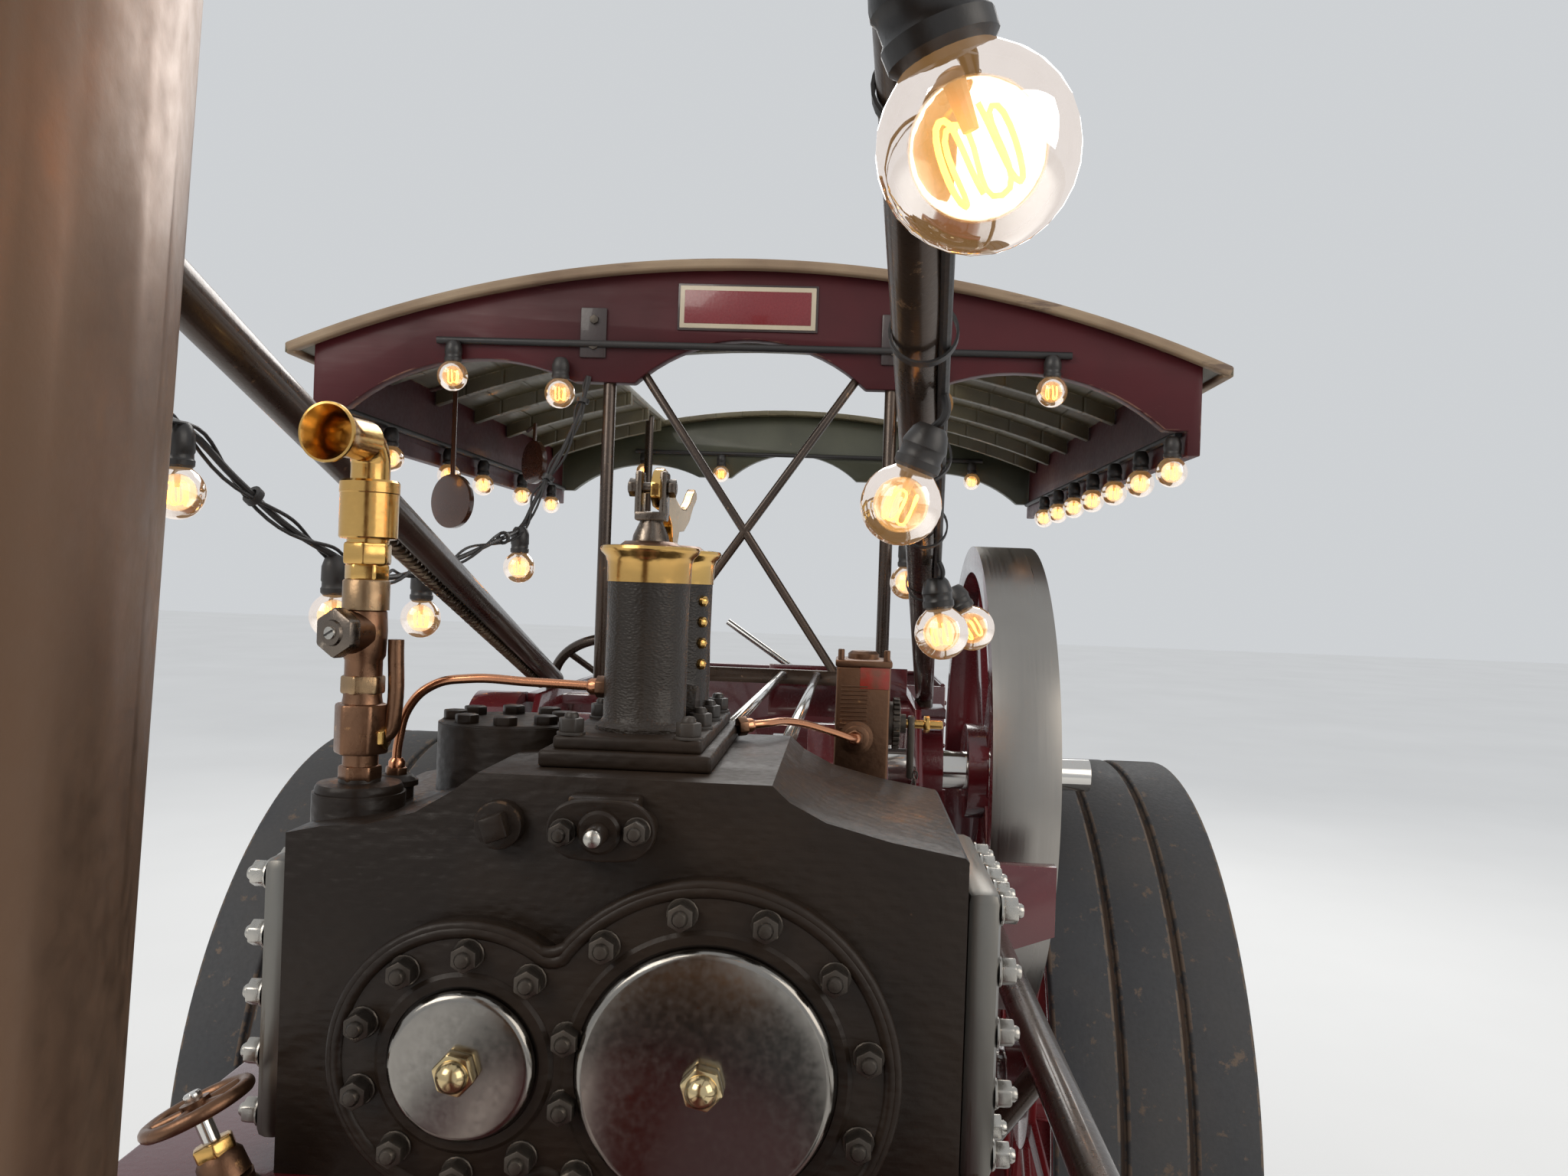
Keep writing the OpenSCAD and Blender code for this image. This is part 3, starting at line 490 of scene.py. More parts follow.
PALE_BRASS = Metal("pale_acorn_brass", "valve_brass", (0.66, 0.53, 0.31), (0.54, 0.42, 0.23),
                   (0.35, 0.22, 0.12), gloss=(0.1, 0.22), grain_depth=0.00005, wear=0.7)
BRASS = Metal("polished_brass", "valve_brass", (0.72, 0.46, 0.155), (0.56, 0.32, 0.1),
              (0.3, 0.15, 0.06), gloss=(0.1, 0.27), grain_depth=0.0001, wear=0.68)
PEBBLED = Casting("valve_column_casting", "casting_black", (0.016, 0.012, 0.009), (0.028, 0.02, 0.014),
                  (0.12, 0.08, 0.045), gloss=(0.3, 0.46), coat=0.12, specular=0.32, wear=0.71,
                  pit_scale=520.0, pit_depth=0.0009)
CAST_NUT = Finish("nut_casting_paint", "casting_black", (0.022, 0.018, 0.015), (0.045, 0.036, 0.029),
                  (0.16, 0.11, 0.07), gloss=(0.3, 0.48), coat=0.1, specular=0.35, wear=0.64)
FORK_STEEL = Metal("browned_fork_steel", "chain_steel", (0.18, 0.15, 0.125), (0.1, 0.08, 0.066),
                   (0.42, 0.35, 0.28), gloss=(0.2, 0.4), wear=0.6)
GREYED_BRASS = Metal("greyed_brass", "valve_brass", (0.34, 0.225, 0.125), (0.24, 0.165, 0.105),
                     (0.48, 0.35, 0.2), gloss=(0.24, 0.42), wear=0.6)
CABLE_SHEEN = Finish("twisted_cable", "cable_black", (0.115, 0.082, 0.052), (0.2, 0.145, 0.09),
                     (0.42, 0.32, 0.2), metallic=0.75, gloss=(0.22, 0.36), coat=0.2, wear=0.6)
GREEN_BOARD = Finish("rear_board_green", "roof_olive", (0.058, 0.06, 0.034), (0.038, 0.04, 0.024),
                     (0.2, 0.16, 0.09), gloss=(0.4, 0.56), coat=0.12, wear=0.68)
BROWN_BRASS = Finish("browned_copper", "lubricator_copper", (0.225, 0.12, 0.07), (0.125, 0.066, 0.04),
                     (0.5, 0.27, 0.12), metallic=0.95, gloss=(0.25, 0.45), wear=0.62)
COPPER = Metal("bright_copper_pipe", "pipe_copper", (0.7, 0.33, 0.18), (0.5, 0.215, 0.115),
               (0.28, 0.12, 0.07), gloss=(0.14, 0.3), grain_depth=0.0001, wear=0.7)
RED_PAINT = Finish("wheel_paint", "wheel_red", (0.2, 0.014, 0.017), (0.145, 0.01, 0.013),
                   (0.24, 0.07, 0.05), gloss=(0.14, 0.3), coat=0.65, wear=0.71)
SIGHT_RED = Finish("smeared_red_paint", "lubricator_copper", (0.34, 0.028, 0.018), (0.17, 0.062, 0.036),
                   (0.2, 0.105, 0.06), gloss=(0.26, 0.42), coat=0.15, patch_scale=70.0, wear=0.56)
RUBBER = Finish("worn_rubber", "tyre_rubber", (0.036, 0.037, 0.04), (0.058, 0.056, 0.055),
                (0.115, 0.082, 0.058), gloss=(0.62, 0.84), grain_scale=190, grain_depth=0.0009, wear=0.6)
RUST_RUBBER = Finish("groove_dirt", "tyre_rubber", (0.105, 0.064, 0.042), (0.06, 0.042, 0.033),
                     (0.15, 0.11, 0.08), gloss=(0.8, 0.95), grain_scale=150, grain_depth=0.0009, wear=0.6)
OLIVE = Planks("roof_boards_olive", "roof_olive", (0.115, 0.098, 0.05), (0.08, 0.064, 0.034),
               (0.22, 0.17, 0.1), gloss=(0.38, 0.55), coat=0.12, grain_scale=140, stretch=(0.1, 1, 1),
               wear=0.66)
TRIM_WOOD = Finish("roof_edge_wood", "roof_olive", (0.3, 0.215, 0.135), (0.19, 0.125, 0.078),
                   (0.13, 0.085, 0.06), gloss=(0.5, 0.7), grain_scale=150, stretch=(1, 0.1, 1),
                   grain_depth=0.0007, wear=0.58)
DARK_TUBE = Finish("browned_tube", "tube_dark", (0.045, 0.03, 0.022), (0.075, 0.048, 0.032),
                   (0.26, 0.16, 0.09), metallic=0.6, gloss=(0.22, 0.4), coat=0.35, wear=0.64)
OILED = Metal("oiled_steel", "chain_steel", (0.12, 0.11, 0.105), (0.075, 0.068, 0.062),
              (0.24, 0.18, 0.13), gloss=(0.3, 0.5), wear=0.64)
SEAT_HIDE = Finish("seat_hide", "seat_black", (0.018, 0.016, 0.016), (0.03, 0.025, 0.023),
                   (0.07, 0.055, 0.045), gloss=(0.45, 0.62), grain_scale=420, grain_depth=0.0006, wear=0.66)
CABLE = Finish("cable_sheath", "cable_black", (0.014, 0.013, 0.013), (0.024, 0.021, 0.02),
               (0.06, 0.05, 0.045), gloss=(0.42, 0.6), grain_depth=0.0002, wear=0.7)
LAMP_BLACK = Finish("lampholder_moulding", "holder_black", (0.016, 0.014, 0.013), (0.026, 0.022, 0.02),
                    (0.09, 0.06, 0.04), gloss=(0.32, 0.5), grain_depth=0.0002, wear=0.7)
MIRROR_BROWN = Finish("mirror_back_gloss", "mirror_back", (0.11, 0.045, 0.024), (0.075, 0.03, 0.017),
                      (0.18, 0.09, 0.05), gloss=(0.14, 0.26), coat=0.6, wear=0.74)
PANEL_DARK = Finish("panel_enamel", "casting_black", (0.04, 0.024, 0.022), (0.03, 0.018, 0.017),
                    (0.08, 0.06, 0.05), gloss=(0.3, 0.45), coat=0.3, wear=0.74)
CREAM = Finish("panel_border_cream", "roof_olive", (0.56, 0.49, 0.37), (0.44, 0.37, 0.27),
               (0.25, 0.18, 0.12), gloss=(0.35, 0.5), wear=0.7)
PANEL_RED = Finish("panel_red_enamel", "frame_maroon", (0.19, 0.016, 0.02), (0.15, 0.012, 0.016),
                   (0.26, 0.1, 0.08), gloss=(0.22, 0.34), coat=0.4, wear=0.74)
GLOBE = ClearGlass("lamp_globe_glass", "bulb_glass", (1.0, 0.5, 0.14), 0.17)
GLOBE_CLEAR = ClearGlass("gauge_glass", "bulb_glass", (1.0, 1.0, 1.0), 0.0)
FILAMENT = Glow("lamp_filament", "bulb_glass", (1.0, 0.37, 0.055), 7.0)


def facing(direction: Way | Point, at: Point = (0, 0, 0), spin: float = 0.0) -> Matrix:
    """Place whose +Z looks along the direction.

    Args:
        direction: Where +Z points.
        at: Where the origin goes.
        spin: Turn about +Z in radians.

    Returns:
        The placing matrix.
    """
    along = direction.value if isinstance(direction, Way) else direction
    turn = Vector(along).to_track_quat("Z", "Y").to_matrix().to_4x4()
    return Matrix.Translation(Vector(at)) @ turn @ Matrix.Rotation(spin, 4, "Z")


class Bench:
    """Modelling steps that the pieces share."""

    @staticmethod
    def label(obj: Piece, name: str) -> None:
        """Names an object and its data."""
        obj.name = name
        obj.data.name = obj.name

    @staticmethod
    def coat(obj: Piece, *materials: Material) -> None:
        """Gives an object these materials and no others.

        Args:
            obj: The object.
            materials: Its materials, in the order of their slots.
        """
        obj.data.materials.clear()
        for material in materials:
            obj.data.materials.append(material)

    @staticmethod
    def tell(obj: Piece) -> None:
        """Logs a finished piece."""
        log.info("%s: %d faces", obj.name, len(obj.data.polygons))

    @staticmethod
    def clear() -> None:
        """Deselects everything."""
        bpy.ops.object.select_all(action="DESELECT")

    @staticmethod
    def pick(obj: Piece) -> None:
        """Selects one object alone and makes it active.

        Args:
            obj: The object.
        """
        Bench.clear()
        obj.select_set(True)
        bpy.context.view_layer.objects.active = obj

    @staticmethod
    def open(obj: Piece) -> None:
        """Goes into edit mode with all of the object selected.

        Args:
            obj: The object.
        """
        Bench.pick(obj)
        bpy.ops.object.mode_set(mode="EDIT")
        bpy.ops.mesh.select_mode(type="VERT")
        bpy.ops.mesh.select_all(action="SELECT")

    @staticmethod
    def open_part(obj: Piece, wanted: Callable[[Vector], bool]) -> None:
        """Goes into edit mode with only the wanted vertices selected.

        Args:
            obj: The object.
            wanted: Says of a vertex's place if it is selected.
        """
        Bench.open(obj)
        bpy.ops.mesh.select_all(action="DESELECT")
        bpy.ops.object.mode_set(mode="OBJECT")
        for vertex in obj.data.vertices:
            vertex.select = wanted(vertex.co)
        bpy.ops.object.mode_set(mode="EDIT")

    @staticmethod
    def close(obj: Piece) -> None:
        """Merges doubles, points the faces outwards and leaves edit mode.

        Args:
            obj: The object, in edit mode.
        """
        bpy.ops.mesh.select_all(action="SELECT")
        bpy.ops.mesh.remove_doubles(threshold=MERGE_GAP)
        bpy.ops.mesh.normals_make_consistent(inside=False)
        bpy.ops.object.mode_set(mode="OBJECT")
        Bench.smooth(obj)

    @staticmethod
    def smooth(obj: Piece, angle: float = SHARP_DEG) -> None:
        """Shades smooth below the angle, in degrees."""
        Bench.pick(obj)
        bpy.ops.object.shade_smooth_by_angle(angle=math.radians(angle))

    @staticmethod
    def line(points: Sequence[Point]) -> Piece:
        """A chain of edges extruded from one point, left open in edit mode.

        Args:
            points: Places of the vertices, in order.

        Returns:
            The object.
        """
        Bench.clear()
        bpy.ops.mesh.primitive_plane_add(size=0.01, location=(0, 0, 0))
        obj = bpy.context.object
        Bench.open(obj)
        bpy.ops.mesh.merge(type="CENTER")
        bpy.ops.transform.translate(value=points[0])
        for a, b in zip(points, points[1:]):
            step = tuple(Vector(b) - Vector(a))
            bpy.ops.mesh.extrude_vertices_move(TRANSFORM_OT_translate={"value": step})
        bpy.ops.mesh.select_all(action="SELECT")
        return obj

    @staticmethod
    def lathe(profile: Sequence[Pair], place: Matrix | None = None, steps: int = 40) -> Piece:
        """Turns a profile of radius and height about +Z.

        Args:
            profile: Radius and height of each point; it starts and ends on the axis or on itself.
            place: Where the turned piece goes.
            steps: Facets round the piece.

        Returns:
            The finished piece.
        """
        obj = Bench.line([(r, 0, z) for r, z in profile])
        bpy.ops.mesh.spin(steps=steps, angle=FULL_TURN, center=(0, 0, 0), axis=(0, 0, 1))
        Bench.close(obj)
        return Bench.put(obj, place)

    @staticmethod
    def put(obj: Piece, place: Matrix | None) -> Piece:
        """Moves the mesh to its place and leaves the object at the origin.

        Args:
            obj: The object.
            place: Matrix for its mesh, if it moves.

        Returns:
            The same object.
        """
        if place is not None:
            obj.data.transform(place)
            obj.data.update()
        return obj

    @staticmethod
    def prism(outline: Sequence[Pair], depth: float, place: Matrix | None = None,
              bevel: float = 0.0008) -> Piece:
        """A flat outline made thick along +Z, with rounded edges.

        Args:
            outline: Points in the XY plane.
            depth: Thickness.
            place: Where it goes.
            bevel: Width of the rounding.

        Returns:
            The finished piece.
        """
        obj = Bench.line([(x, y, 0) for x, y in outline])
        bpy.ops.mesh.edge_face_add()
        bpy.ops.mesh.extrude_region_move(TRANSFORM_OT_translate={"value": (0, 0, depth)})
        Bench.close(obj)
        Bench.round_edges(obj, bevel)
        return Bench.put(obj, place)

    @staticmethod
    def cube(low: Vector, high: Vector) -> Piece:
        """A plain box between two corners.

        Args:
            low: Low corner.
            high: High corner.

        Returns:
            The box.
        """
        Bench.clear()
        bpy.ops.mesh.primitive_cube_add(size=1, location=(low + high) / 2, scale=high - low)
        bpy.ops.object.transform_apply(location=True, rotation=True, scale=True)
        return bpy.context.object

    @staticmethod
    def block(low: Point, high: Point, bevel: float = 0.001, segments: int = 2) -> Piece:
        """A box between two corners with rounded edges.

        Args:
            low: Low corner.
            high: High corner.
            bevel: Width of the rounding.
            segments: Steps across it.

        Returns:
            The finished piece.
        """
        obj = Bench.cube(Vector(low), Vector(high))
        Bench.round_edges(obj, bevel, segments)
        return obj

    @staticmethod
    def round_edges(obj: Piece, width: float, segments: int = 2) -> None:
        """Rounds every sharp edge; the rounded faces take the edge material, painted highlight on paint and
        wear on castings and metal.

        Args:
            obj: The object.
            width: Width of the rounding.
            segments: Steps across it.
        """
        if width > 0:
            Bench.pick(obj)
            bevel = obj.modifiers.new("round", "BEVEL")
            bevel.width, bevel.segments = width, segments
            bevel.limit_method, bevel.angle_limit = "ANGLE", math.radians(SHARP_DEG)
            # Slot 1: edge material, painted highlight on paint and edge wear on castings and metal.
            bevel.material = 1
            bpy.ops.object.modifier_apply(modifier=bevel.name)
        Bench.smooth(obj)

    @staticmethod
    def hexagon(across: float, height: float, place: Matrix | None = None) -> Piece:
        """A hexagon nut with chamfered corners, standing on the origin.

        Args:
            across: Width over its flats.
            height: Height.
            place: Where it goes.

        Returns:
            The finished nut.
        """
        radius = across / math.sqrt(3)
        Bench.clear()
        bpy.ops.mesh.primitive_cylinder_add(vertices=6, radius=radius, depth=height,
                                            location=(0, 0, height / 2))
        bpy.ops.object.transform_apply(location=True, rotation=True, scale=True)
        obj = bpy.context.object
        Bench.round_edges(obj, across * 0.07)
        return Bench.put(obj, place)

    @staticmethod
    def stud_nut(across: float, height: float, stud: float, place: Matrix | None = None) -> Piece:
        """A nut on its washer with the domed end of its stud standing out.

        Args:
            across: Width over the flats.
            height: Height of the nut.
            stud: Radius of the stud.
            place: Where it goes.

        Returns:
            The finished set.
        """
        nut = Bench.hexagon(across, height, Matrix.Translation((0, 0, height * 0.15)))
        washer = Bench.lathe([(0, 0), (across * 0.64, 0), (across * 0.64, height * 0.12),
                              (across * 0.6, height * 0.18), (0, height * 0.18)], steps=16)
        top = height * 1.1
        end = Bench.lathe([(0, top), (stud, top), (stud, top + stud * 0.5), (stud * 0.75, top + stud * 0.85),
                           (0, top + stud)], steps=12)
        return Bench.put(Bench.join([nut, washer, end]), place)

    @staticmethod
    def curve(radius: float, sides: int) -> bpy.types.Curve:
        """An empty curve with a round section and closed ends.

        Args:
            radius: Radius of the section.
            sides: Bevel resolution of the section.

        Returns:
            The curve.
        """
        curve = bpy.data.curves.new("route", "CURVE")
        curve.dimensions = "3D"
        curve.bevel_depth = radius
        curve.bevel_resolution = sides
        curve.use_fill_caps = True
        return curve

    @staticmethod
    def tube(curve: bpy.types.Curve) -> Piece:
        """The mesh that a round curve describes.

        Args:
            curve: The curve.

        Returns:
            The finished piece.
        """
        obj = bpy.data.objects.new("route", curve)
        bpy.context.scene.collection.objects.link(obj)
        Bench.pick(obj)
        bpy.ops.object.convert(target="MESH")
        obj = bpy.context.object
        Bench.open(obj)
        Bench.close(obj)
        return obj

    @staticmethod
    def pipe(points: Sequence[Point], radius: float, sides: int = 4, closed: bool = False) -> Piece:
        """A round tube through the points, on a smooth curve, open or in a ring.

        Args:
            points: Points on its axis.
            radius: Outer radius.
            sides: Bevel resolution of the section.
            closed: If it runs back to its start.

        Returns:
            The finished piece.
        """
        curve = Bench.curve(radius, sides)
        curve.resolution_u = 8 if len(points) < 20 else 3
        spline = curve.splines.new("BEZIER")
        spline.bezier_points.add(len(points) - 1)
        spline.use_cyclic_u = closed
        for knot, point in zip(spline.bezier_points, points):
            knot.co = point
            knot.handle_left_type = knot.handle_right_type = "AUTO"
        return Bench.tube(curve)

    @staticmethod
    def smooth_route(points: Sequence[Point], steps: int) -> list[Vector]:
        """Points on a smooth curve through the given ones.

        Args:
            points: The points that the route passes.
            steps: Pieces between each pair.

        Returns:
            The route, with its first and last points as given.
        """
        knots = [Vector(p) for p in points]
        knots = [2 * knots[0] - knots[1], *knots, 2 * knots[-1] - knots[-2]]
        route = []
        for before, a, b, after in zip(knots, knots[1:], knots[2:], knots[3:]):
            for i in range(steps):
                t = i / steps
                route.append(0.5 * (2 * a + (b - before) * t + (2 * before - 5 * a + 4 * b - after) * t ** 2
                                    + (3 * a - before - 3 * b + after) * t ** 3))
        return [*route, knots[-2]]

    @staticmethod
    def polytube(route: Sequence[Vector], radius: float) -> Piece:
        """A round tube that follows the route point by point.

        Args:
            route: Points on its axis.
            radius: Outer radius.

        Returns:
            The finished piece.
        """
        curve = Bench.curve(radius, 2)
        spline = curve.splines.new("POLY")
        spline.points.add(len(route) - 1)
        for knot, point in zip(spline.points, route):
            knot.co = (*point, 1)
        return Bench.tube(curve)

    @staticmethod
    def link(radius: float, wire: float, stretch: float) -> Piece:
        """An oval chain link, long along +X: a ring whose halves are drawn apart.

        Args:
            radius: Radius of its round ends.
            wire: Radius of its wire.
            stretch: Distance that each half is moved.

        Returns:
            The link, lying in the XY plane.
        """
        Bench.clear()
        bpy.ops.mesh.primitive_torus_add(major_segments=12, minor_segments=6, major_radius=radius,
                                         minor_radius=wire)
        obj = bpy.context.object
        for side in reversed(Side):
            Bench.open_part(obj, lambda co: co.x * side > MERGE_GAP)
            bpy.ops.transform.translate(value=(side * stretch, 0, 0))
            bpy.ops.object.mode_set(mode="OBJECT")
        Bench.smooth(obj, 60)
        return obj

    @staticmethod
    def rod(a: Point, b: Point, radius: float, steps: int = 24) -> Piece:
        """A round bar between two points with chamfered ends.

        Args:
            a: Middle of one end.
            b: Middle of the other.
            radius: Radius.
            steps: Facets round it.

        Returns:
            The finished piece.
        """
        length = (Vector(b) - Vector(a)).length
        chamfer = min(radius * 0.2, length * 0.2)
        return Bench.lathe([(0, 0), (radius - chamfer, 0), (radius, chamfer), (radius, length - chamfer),
                            (radius - chamfer, length), (0, length)], facing(Vector(b) - Vector(a), a), steps)

    @staticmethod
    def twin(obj: Piece, place: Matrix) -> Piece:
        """A copy with its own mesh, moved by the matrix.

        Args:
            obj: The pattern.
            place: Matrix for the copy's mesh.

        Returns:
            The copy.
        """
        made = obj.copy()
        made.data = obj.data.copy()
        bpy.context.scene.collection.objects.link(made)
        return Bench.put(made, place)

    @staticmethod
    def spread(obj: Piece, places: Iterable[Matrix]) -> Piece:
        """Copies of one object at all places, joined; the pattern itself is removed.

        Args:
            obj: The pattern, modelled about the origin.
            places: Where the copies go.

        Returns:
            All copies as one object.
        """
        copies = [Bench.twin(obj, place) for place in places]
        bpy.data.objects.remove(obj)
        return Bench.join(copies)

    @staticmethod
    def join(objs: Sequence[Piece]) -> Piece:
        """Joins the objects into the first.

        Args:
            objs: The objects.

        Returns:
            The joined object.
        """
        Bench.clear()
        for obj in objs:
            obj.select_set(True)
        bpy.context.view_layer.objects.active = objs[0]
        if len(objs) > 1:
            bpy.ops.object.join()
        return bpy.context.view_layer.objects.active

    @staticmethod
    def ring(count: int, radius: float, place: Matrix, start: float = 0.0) -> list[Matrix]:
        """Places evenly round a circle about the place's +Z."""
        turns = [start + FULL_TURN * i / count for i in range(count)]
        return [place @ Matrix.Translation((radius * math.cos(t), radius * math.sin(t), 0)) for t in turns]


AnyFinish = Finish | Lit


@dataclass
class SubAssembly:
    """Pieces that ride on one body, gathered by finish."""

    body: str = CHASSIS
    made: dict[AnyFinish, list[Piece]] = field(default_factory=dict)

    def add(self, obj: Piece, finish: AnyFinish) -> Piece:
        """Gives a piece its finish and keeps it for delivery.

        Args:
            obj: The piece.
            finish: Its finish.

        Returns:
            The same piece.
        """
        Bench.coat(obj, finish.material(), finish.edge())
        self.made.setdefault(finish, []).append(obj)
        return obj

    def deliver(self, stem: str, *nodes: str) -> None:
        """Joins the pieces of each finish, sets them on their body and logs them.

        Args:
            stem: First part of the pieces' names.
            nodes: CAD nodes that these pieces stand for.
        """
        for count, (finish, objs) in enumerate(self.made.items()):
            piece = Bench.join(objs)
            Bench.label(piece, f"{stem}_{finish.name}")
            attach(piece, self.body)
            if count == 0 and nodes:
                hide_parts(*nodes)
            Bench.tell(piece)


@dataclass
class CarriedNodes:
    """CAD nodes that keep their shape, with edges rounded where they are rigid plates or castings."""

    nodes: dict[str, Piece]
    bodies: dict[str, list[str]]

    def body_of(self, node: str) -> str:
        """The body that a node rides on."""
        return next(body for body, members in self.bodies.items() if node in members)

    def paint(self, node: str, finish: AnyFinish) -> None:
        """Gives a CAD node its finish and leaves its mesh alone."""
        Bench.coat(self.nodes[node], finish.material())
        log.info("%s: painted", node)

    def rounded(self, node: str, finish: AnyFinish, width: float, segments: int = 2) -> Piece:
        """A copy of a node with its edges rounded, standing for the node.

        Args:
            node: The CAD node.
            finish: Its finish; the rounded edges take its edge material, painted highlight on paint and wear
                on castings and metal.
            width: Width of the rounding in metres.
            segments: Steps across the rounding.

        Returns:
            The new piece.
        """
        piece = Bench.twin(self.nodes[node], Matrix.Identity(4))
        piece.parent = None
        for key in list(piece.keys()):
            del piece[key]
        Bench.label(piece, node + "_dressed")
        Bench.coat(piece, finish.material(), finish.edge())
        Bench.open(piece)
        bpy.ops.mesh.remove_doubles(threshold=CAD_MERGE_GAP)
        bpy.ops.mesh.dissolve_limited(angle_limit=math.radians(CAD_FLAT_DEG))
        bpy.ops.object.mode_set(mode="OBJECT")
        if piece.data.has_custom_normals:
            bpy.ops.mesh.customdata_custom_splitnormals_clear()
        Bench.round_edges(piece, width, segments)
        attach(piece, self.body_of(node))
        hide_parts(node)
        Bench.tell(piece)
        return piece

    @staticmethod
    def repaint(piece: Piece, finish: AnyFinish, chosen: Iterable[int]) -> None:
        """Gives the chosen faces of a piece another finish.

        Args:
            piece: The piece.
            finish: The other finish.
            chosen: Numbers of the faces.
        """
        piece.data.materials.append(finish.material())
        slot = len(piece.data.materials) - 1
        for index in chosen:
            piece.data.polygons[index].material_index = slot

    def dress(self) -> None:
        """Dresses every carried node."""
        table: list[tuple[str, AnyFinish, float]] = [
            ("boiler_barrel", CLADDING, 0.0012), ("smokebox", SOOT_BLACK, 0.0012),
            ("smokebox_door", SOOT_BLACK, 0.001), ("chimney", BRONZE, 0.0015),
            ("firebox", CLADDING, 0.002), ("firehole_door", SOOT_BLACK, 0.001),
            ("hornplates", MAROON, 0.0012), ("ashpan", SOOT_BLACK, 0.002), ("belly_tank", MAROON, 0.004),
            ("cylinder_saddle", MAROON, 0.003), ("cylinder_block", CAST_BLACK, 0.0035),
            ("cylinder_covers", CAST_BLACK, 0.0018), ("valve_chest_covers", BRUSHED, 0.006),
            ("motion_frame", MAROON, 0.0008), ("crossheads", STEEL, 0.001),
            ("high_connecting_rod", STEEL, 0.0012), ("low_connecting_rod", STEEL, 0.0012),
            ("crankshaft", STEEL, 0.001), ("high_eccentric_rod", STEEL, 0.001),
            ("low_eccentric_rod", STEEL, 0.001), ("gear_guard", MAROON, 0.003), ("rear_axle", STEEL, 0.002),
            ("front_bracket", MAROON, 0.002), ("front_axle", RED_PAINT, 0.0015),
            ("steering_column", DARK_TUBE, 0.0008), ("steering_wheel", DARK_TUBE, 0.0006),
            ("steering_roller", OILED, 0.0015), ("tender", MAROON, 0.0015), ("drawbar", SOOT_BLACK, 0.002),
            ("roof_panels", OLIVE, 0.0012), ("canopy_posts", DARK_TUBE, 0.0008),
            ("chimney_stays", DARK_TUBE, 0.0008), ("grab_rail", DARK_TUBE, 0.0008),
            ("footplate_controls", STEEL, 0.0006),
            ("rear_wheel_left", RED_PAINT, 0.0012), ("rear_wheel_right", RED_PAINT, 0.0012),
            ("front_wheel_left", RED_PAINT, 0.001), ("front_wheel_right", RED_PAINT, 0.001),
        ]
        for node, finish, width in table:
            self.rounded(node, finish, width)
        for side in Side:
            for end in ("front", "rear"):
                self.tyre(f"{end}_tyre_{side.word}")
        self.flywheel()
        self.boards()
        self.mirrors()
        self.seat()
        self.paint("lamp_wiring", CABLE)
        self.chains()

    @staticmethod
    def round_of(node: str) -> tuple[Vector, float]:
        """Middle and radius of a wheel-shaped node."""
        low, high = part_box(node)
        return (low + high) / 2, (high.z - low.z) / 2

    def tyre(self, node: str) -> None:
        """A tyre with soft shoulders and dirt in its grooves.

        Args:
            node: The tyre's CAD node.
        """
        middle, radius = self.round_of(node)
        piece = self.rounded(node, RUBBER, 0.005, 3)
        groove = [p.index for p in piece.data.polygons
                  if (p.center.xz - middle.xz).length < radius - 0.0045 and abs(p.normal.y) < 0.5
                  and (p.center.xz - middle.xz).dot(p.normal.xz) > 0]
        self.repaint(piece, RUST_RUBBER, groove)

    def chains(self) -> None:
        """The steering chains, laid straight from the roller to the axle's end."""
        low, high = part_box("steering_chains")
        reach, follow = 0.006, 0.42
        roller = Vector((low.x + reach, 0.15, 0.289))
        axle = Vector((high.x - reach, 0.234, 0.3))
        pitch = 0.0148
        count = round((axle - roller).length / pitch)
        lie = Matrix.Rotation(-math.pi / 2, 4, "Y")
        places = []
        for side in reversed(Side):
            a, b = (Vector((p.x, side * p.y, p.z)) for p in (roller, axle))
            for i in range(count + 1):
                place = facing(b - a, a.lerp(b, i / count), math.pi / 2 * (i % 2))
                places.append(place @ lie)
        piece = Bench.spread(Bench.link(radius=0.0042, wire=0.0017, stretch=0.0046), places)
        Bench.label(piece, "steering_chain_links")
        Bench.coat(piece, OILED.material())
        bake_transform(piece)
        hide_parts("steering_chains")
        Bench.tell(piece)

    def boards(self) -> None:
        """The canopy boards: the rear one is green, the others are maroon."""
        rear = -1.55
        piece = self.rounded("canopy_boards", BOARD, 0.002)
        self.repaint(piece, GREEN_BOARD, [p.index for p in piece.data.polygons if p.center.x < rear])

    def mirrors(self) -> None:
        """Both round mirrors, swung on their stems as the photograph shows them."""
        piece = self.rounded("canopy_mirrors", MIRROR_BROWN, 0.002)
        near = 0.1
        for x, y, turn in ((-0.465, -0.5, 48), (-0.959, -0.5, 66)):
            Bench.open_part(piece, lambda co: abs(co.x - x) < near)
            bpy.ops.transform.rotate(value=math.radians(turn), orient_axis="Z", center_override=(x, y, 0))
            bpy.ops.object.mode_set(mode="OBJECT")

    def seat(self) -> None:
        """The driver's cushion, crowned and soft at its edges."""
        piece = Bench.cube(*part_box("driver_seat"))
        Bench.label(piece, "driver_seat_cushion")
        Bench.open(piece)
        bpy.ops.mesh.subdivide(number_cuts=5)
        bpy.ops.object.mode_set(mode="OBJECT")
        Bench.pick(piece)
        soft = piece.modifiers.new("soft", "SUBSURF")
        soft.levels = soft.render_levels = 2
        bpy.ops.object.modifier_apply(modifier=soft.name)
        Bench.smooth(piece, 180)
        Bench.coat(piece, SEAT_HIDE.material())
        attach(piece, self.body_of("driver_seat"))
        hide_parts("driver_seat")
        Bench.tell(piece)

